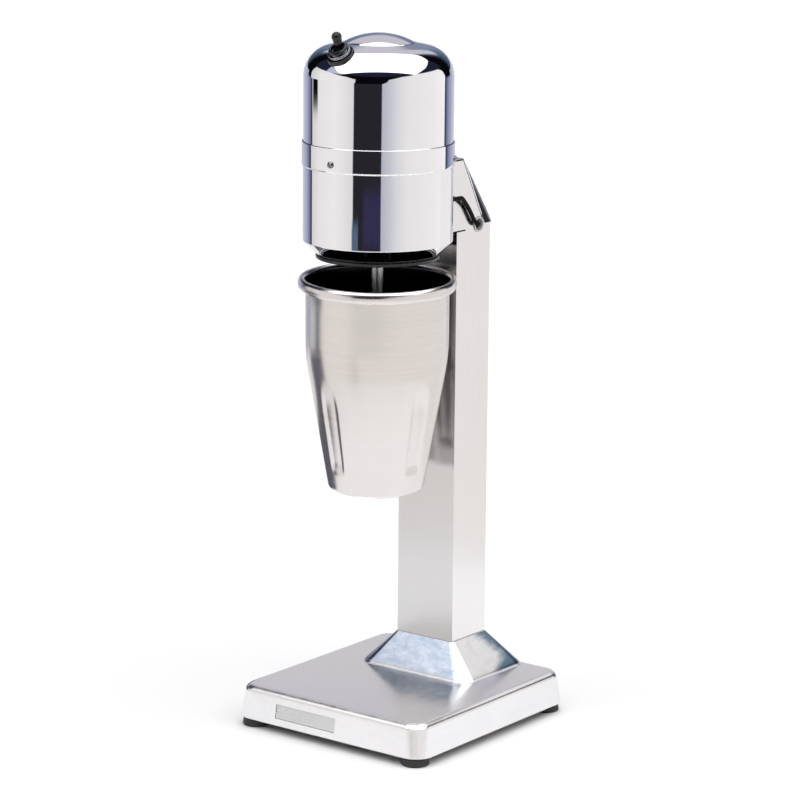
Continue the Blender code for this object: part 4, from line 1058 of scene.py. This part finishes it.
def smooth_route(route, steps):
    """Catmull-Rom points through the route's own points."""
    ends = [route[0] * 2.0 - route[1]] + route + [route[-1] * 2.0 - route[-2]]
    points = []
    for before, start, end, after in zip(ends, ends[1:], ends[2:], ends[3:]):
        for step in range(steps):
            t = step / steps
            points.append(0.5 * (2.0 * start + (end - before) * t
                                 + (2.0 * before - 5.0 * start + 4.0 * end - after) * t ** 2
                                 + (3.0 * start - before - 3.0 * end + after) * t ** 3))
    points.append(route[-1])
    return points


def make_lead(mats):
    """The motor lead, ribbed where it crosses the cheek and plain inside the column."""
    out = heading(LEAD_EXIT_ANGLE)
    start = AXIS + Vector((0.0, 0.0, LEAD_EXIT_Z))
    route = [start + out * reach for reach in (0.0455, 0.0505, 0.0555)]
    route += [Vector(point) for point in LEAD_ROUTE]
    ribbed = LEAD_RIBBED_POINTS * 24
    points = smooth_route(route[:LEAD_RIBBED_POINTS + 2], 24)[:ribbed]
    points += smooth_route(route[LEAD_RIBBED_POINTS - 1:], 3)[3:]
    rows = []
    travelled = 0.0
    side = Vector((0.0, 0.0, 1.0))
    for index, point in enumerate(points):
        after = points[min(index + 1, len(points) - 1)]
        before = points[max(index - 1, 0)]
        ahead = (after - before).normalized()
        side = (side - ahead * side.dot(ahead)).normalized()
        across = ahead.cross(side)
        travelled += (point - before).length
        ribs = 0.5 + 0.5 * math.cos(2.0 * math.pi * travelled / LEAD_RIB_PITCH)
        radius = LEAD_RADIUS * (1.0 - (LEAD_RIB_DEPTH * ribs if index < ribbed else 0.0))
        turns = [2.0 * math.pi * step / LEAD_SIDES for step in range(LEAD_SIDES)]
        rows.append([point + side * (radius * math.cos(turn)) + across * (radius * math.sin(turn))
                     for turn in turns])
    piece("lead_sleeve", skin(rows), mats["cord"], "stand", "rubber", ["motor_lead"], None, 60.0)


def make_agitator(mats):
    """The waved beater disc and the round nut under it, and the spindle they sit on."""
    top = DISC_Z + DISC_THICK
    profile = rounded([(0.0033, DISC_Z), (DISC_HUB, DISC_Z), (0.011, DISC_Z), (0.013, DISC_Z),
                       (DISC_RADIUS, DISC_Z, 0.0004), (DISC_RADIUS, top, 0.0004), (0.013, top),
                       (0.011, top), (DISC_HUB, top), (0.0033, top)], 4)
    bm = turned_mesh(profile, 16 * DISC_WAVES)
    for vert in bm.verts:
        radius = math.hypot(vert.co.x, vert.co.y)
        share = max(0.0, (radius - DISC_HUB) / (DISC_RADIUS - DISC_HUB))
        vert.co.z += DISC_WAVE_HEIGHT * share * math.sin(DISC_WAVES * math.atan2(vert.co.y, vert.co.x))
    metal_side = (mats["bright_steel"], "spindle_set", "steel")
    piece("beater_disc", bm, *metal_side, ["agitator_disc"], ON_AXIS)
    nut = [(0.0033, 0.2052), (0.0052, 0.2052, 0.0004), (0.0062, 0.2062, 0.0004), (0.0062, 0.2102, 0.0003),
           (0.0033, 0.2102)]
    turned_piece("beater_nut", nut, 48, *metal_side, ["agitator_nut"], ON_AXIS)
    low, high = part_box("spindle")
    shaft = [(0.0, low.z), (0.003, low.z, 0.0006), (0.003, 0.214), (0.004, 0.214, 0.0003),
             (0.004, high.z, 0.0008), (0.0, high.z)]
    turned_piece("drive_shaft", shaft, 64, *metal_side, ["spindle"], ON_AXIS)


# ---- carried-over CAD nodes
NODE_MATERIALS = {
    "cast_inside": ["head_block", "lower_bearing_bridge", "upper_bearing_bridge"],
    "column_metal": ["column_tube"],
    "steel": ["cup_hanger", "lower_bearing", "upper_bearing"],
    "dark_steel": ["base_cover_plate"],
    "zinc": ["foot_screw_front_left", "foot_screw_front_right", "foot_screw_rear_left",
             "foot_screw_rear_right", "column_anchor", "column_bolt_front", "column_bolt_rear",
             "mount_bolt_upper", "mount_bolt_lower", "motor_bolt_left", "motor_bolt_right"],
    "rubber": ["cup_rest_pad", "lead_grommet_casing"],
    "pale_rubber": ["lead_grommet_column"],
    "plastic": ["cable_gland", "cooling_fan", "switch_body"],
    "badge_metal": ["badge_plate"],
    "lamination": ["stator_core", "rotor_core"],
    "copper": ["field_coil_left", "field_coil_right", "commutator"],
    "brass": ["brush_holder_left", "brush_holder_right"],
    "carbon": ["carbon_brush_left", "carbon_brush_right"],
}
SOFTENED = {"column_tube": 0.0006, "cup_hanger": 0.0003, "head_block": 0.0006,
            "badge_plate": 0.0002, "switch_body": 0.0006, "column_anchor": 0.0004,
            "upper_bearing_bridge": 0.0005}


def dress_cad_nodes(mats):
    for material, names in NODE_MATERIALS.items():
        for name in names:
            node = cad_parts[name]
            for index in range(max(1, len(node.material_slots))):
                if index < len(node.material_slots):
                    node.material_slots[index].material = mats[material]
                else:
                    node.data.materials.append(mats[material])
    for name, width in SOFTENED.items():
        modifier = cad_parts[name].modifiers.new("edge", "BEVEL")
        modifier.width = width
        modifier.segments = 3
        modifier.limit_method = "ANGLE"
        modifier.angle_limit = math.radians(40.0)
        even_normals(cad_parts[name])


make_camera()
make_world()
make_studio()
make_floor()
mats = make_materials()
dress_cad_nodes(mats)
for make in (make_dome, make_casing, make_cup, make_base, make_feet, make_cover, make_screws, make_switch,
             make_lead, make_agitator):
    make(mats)
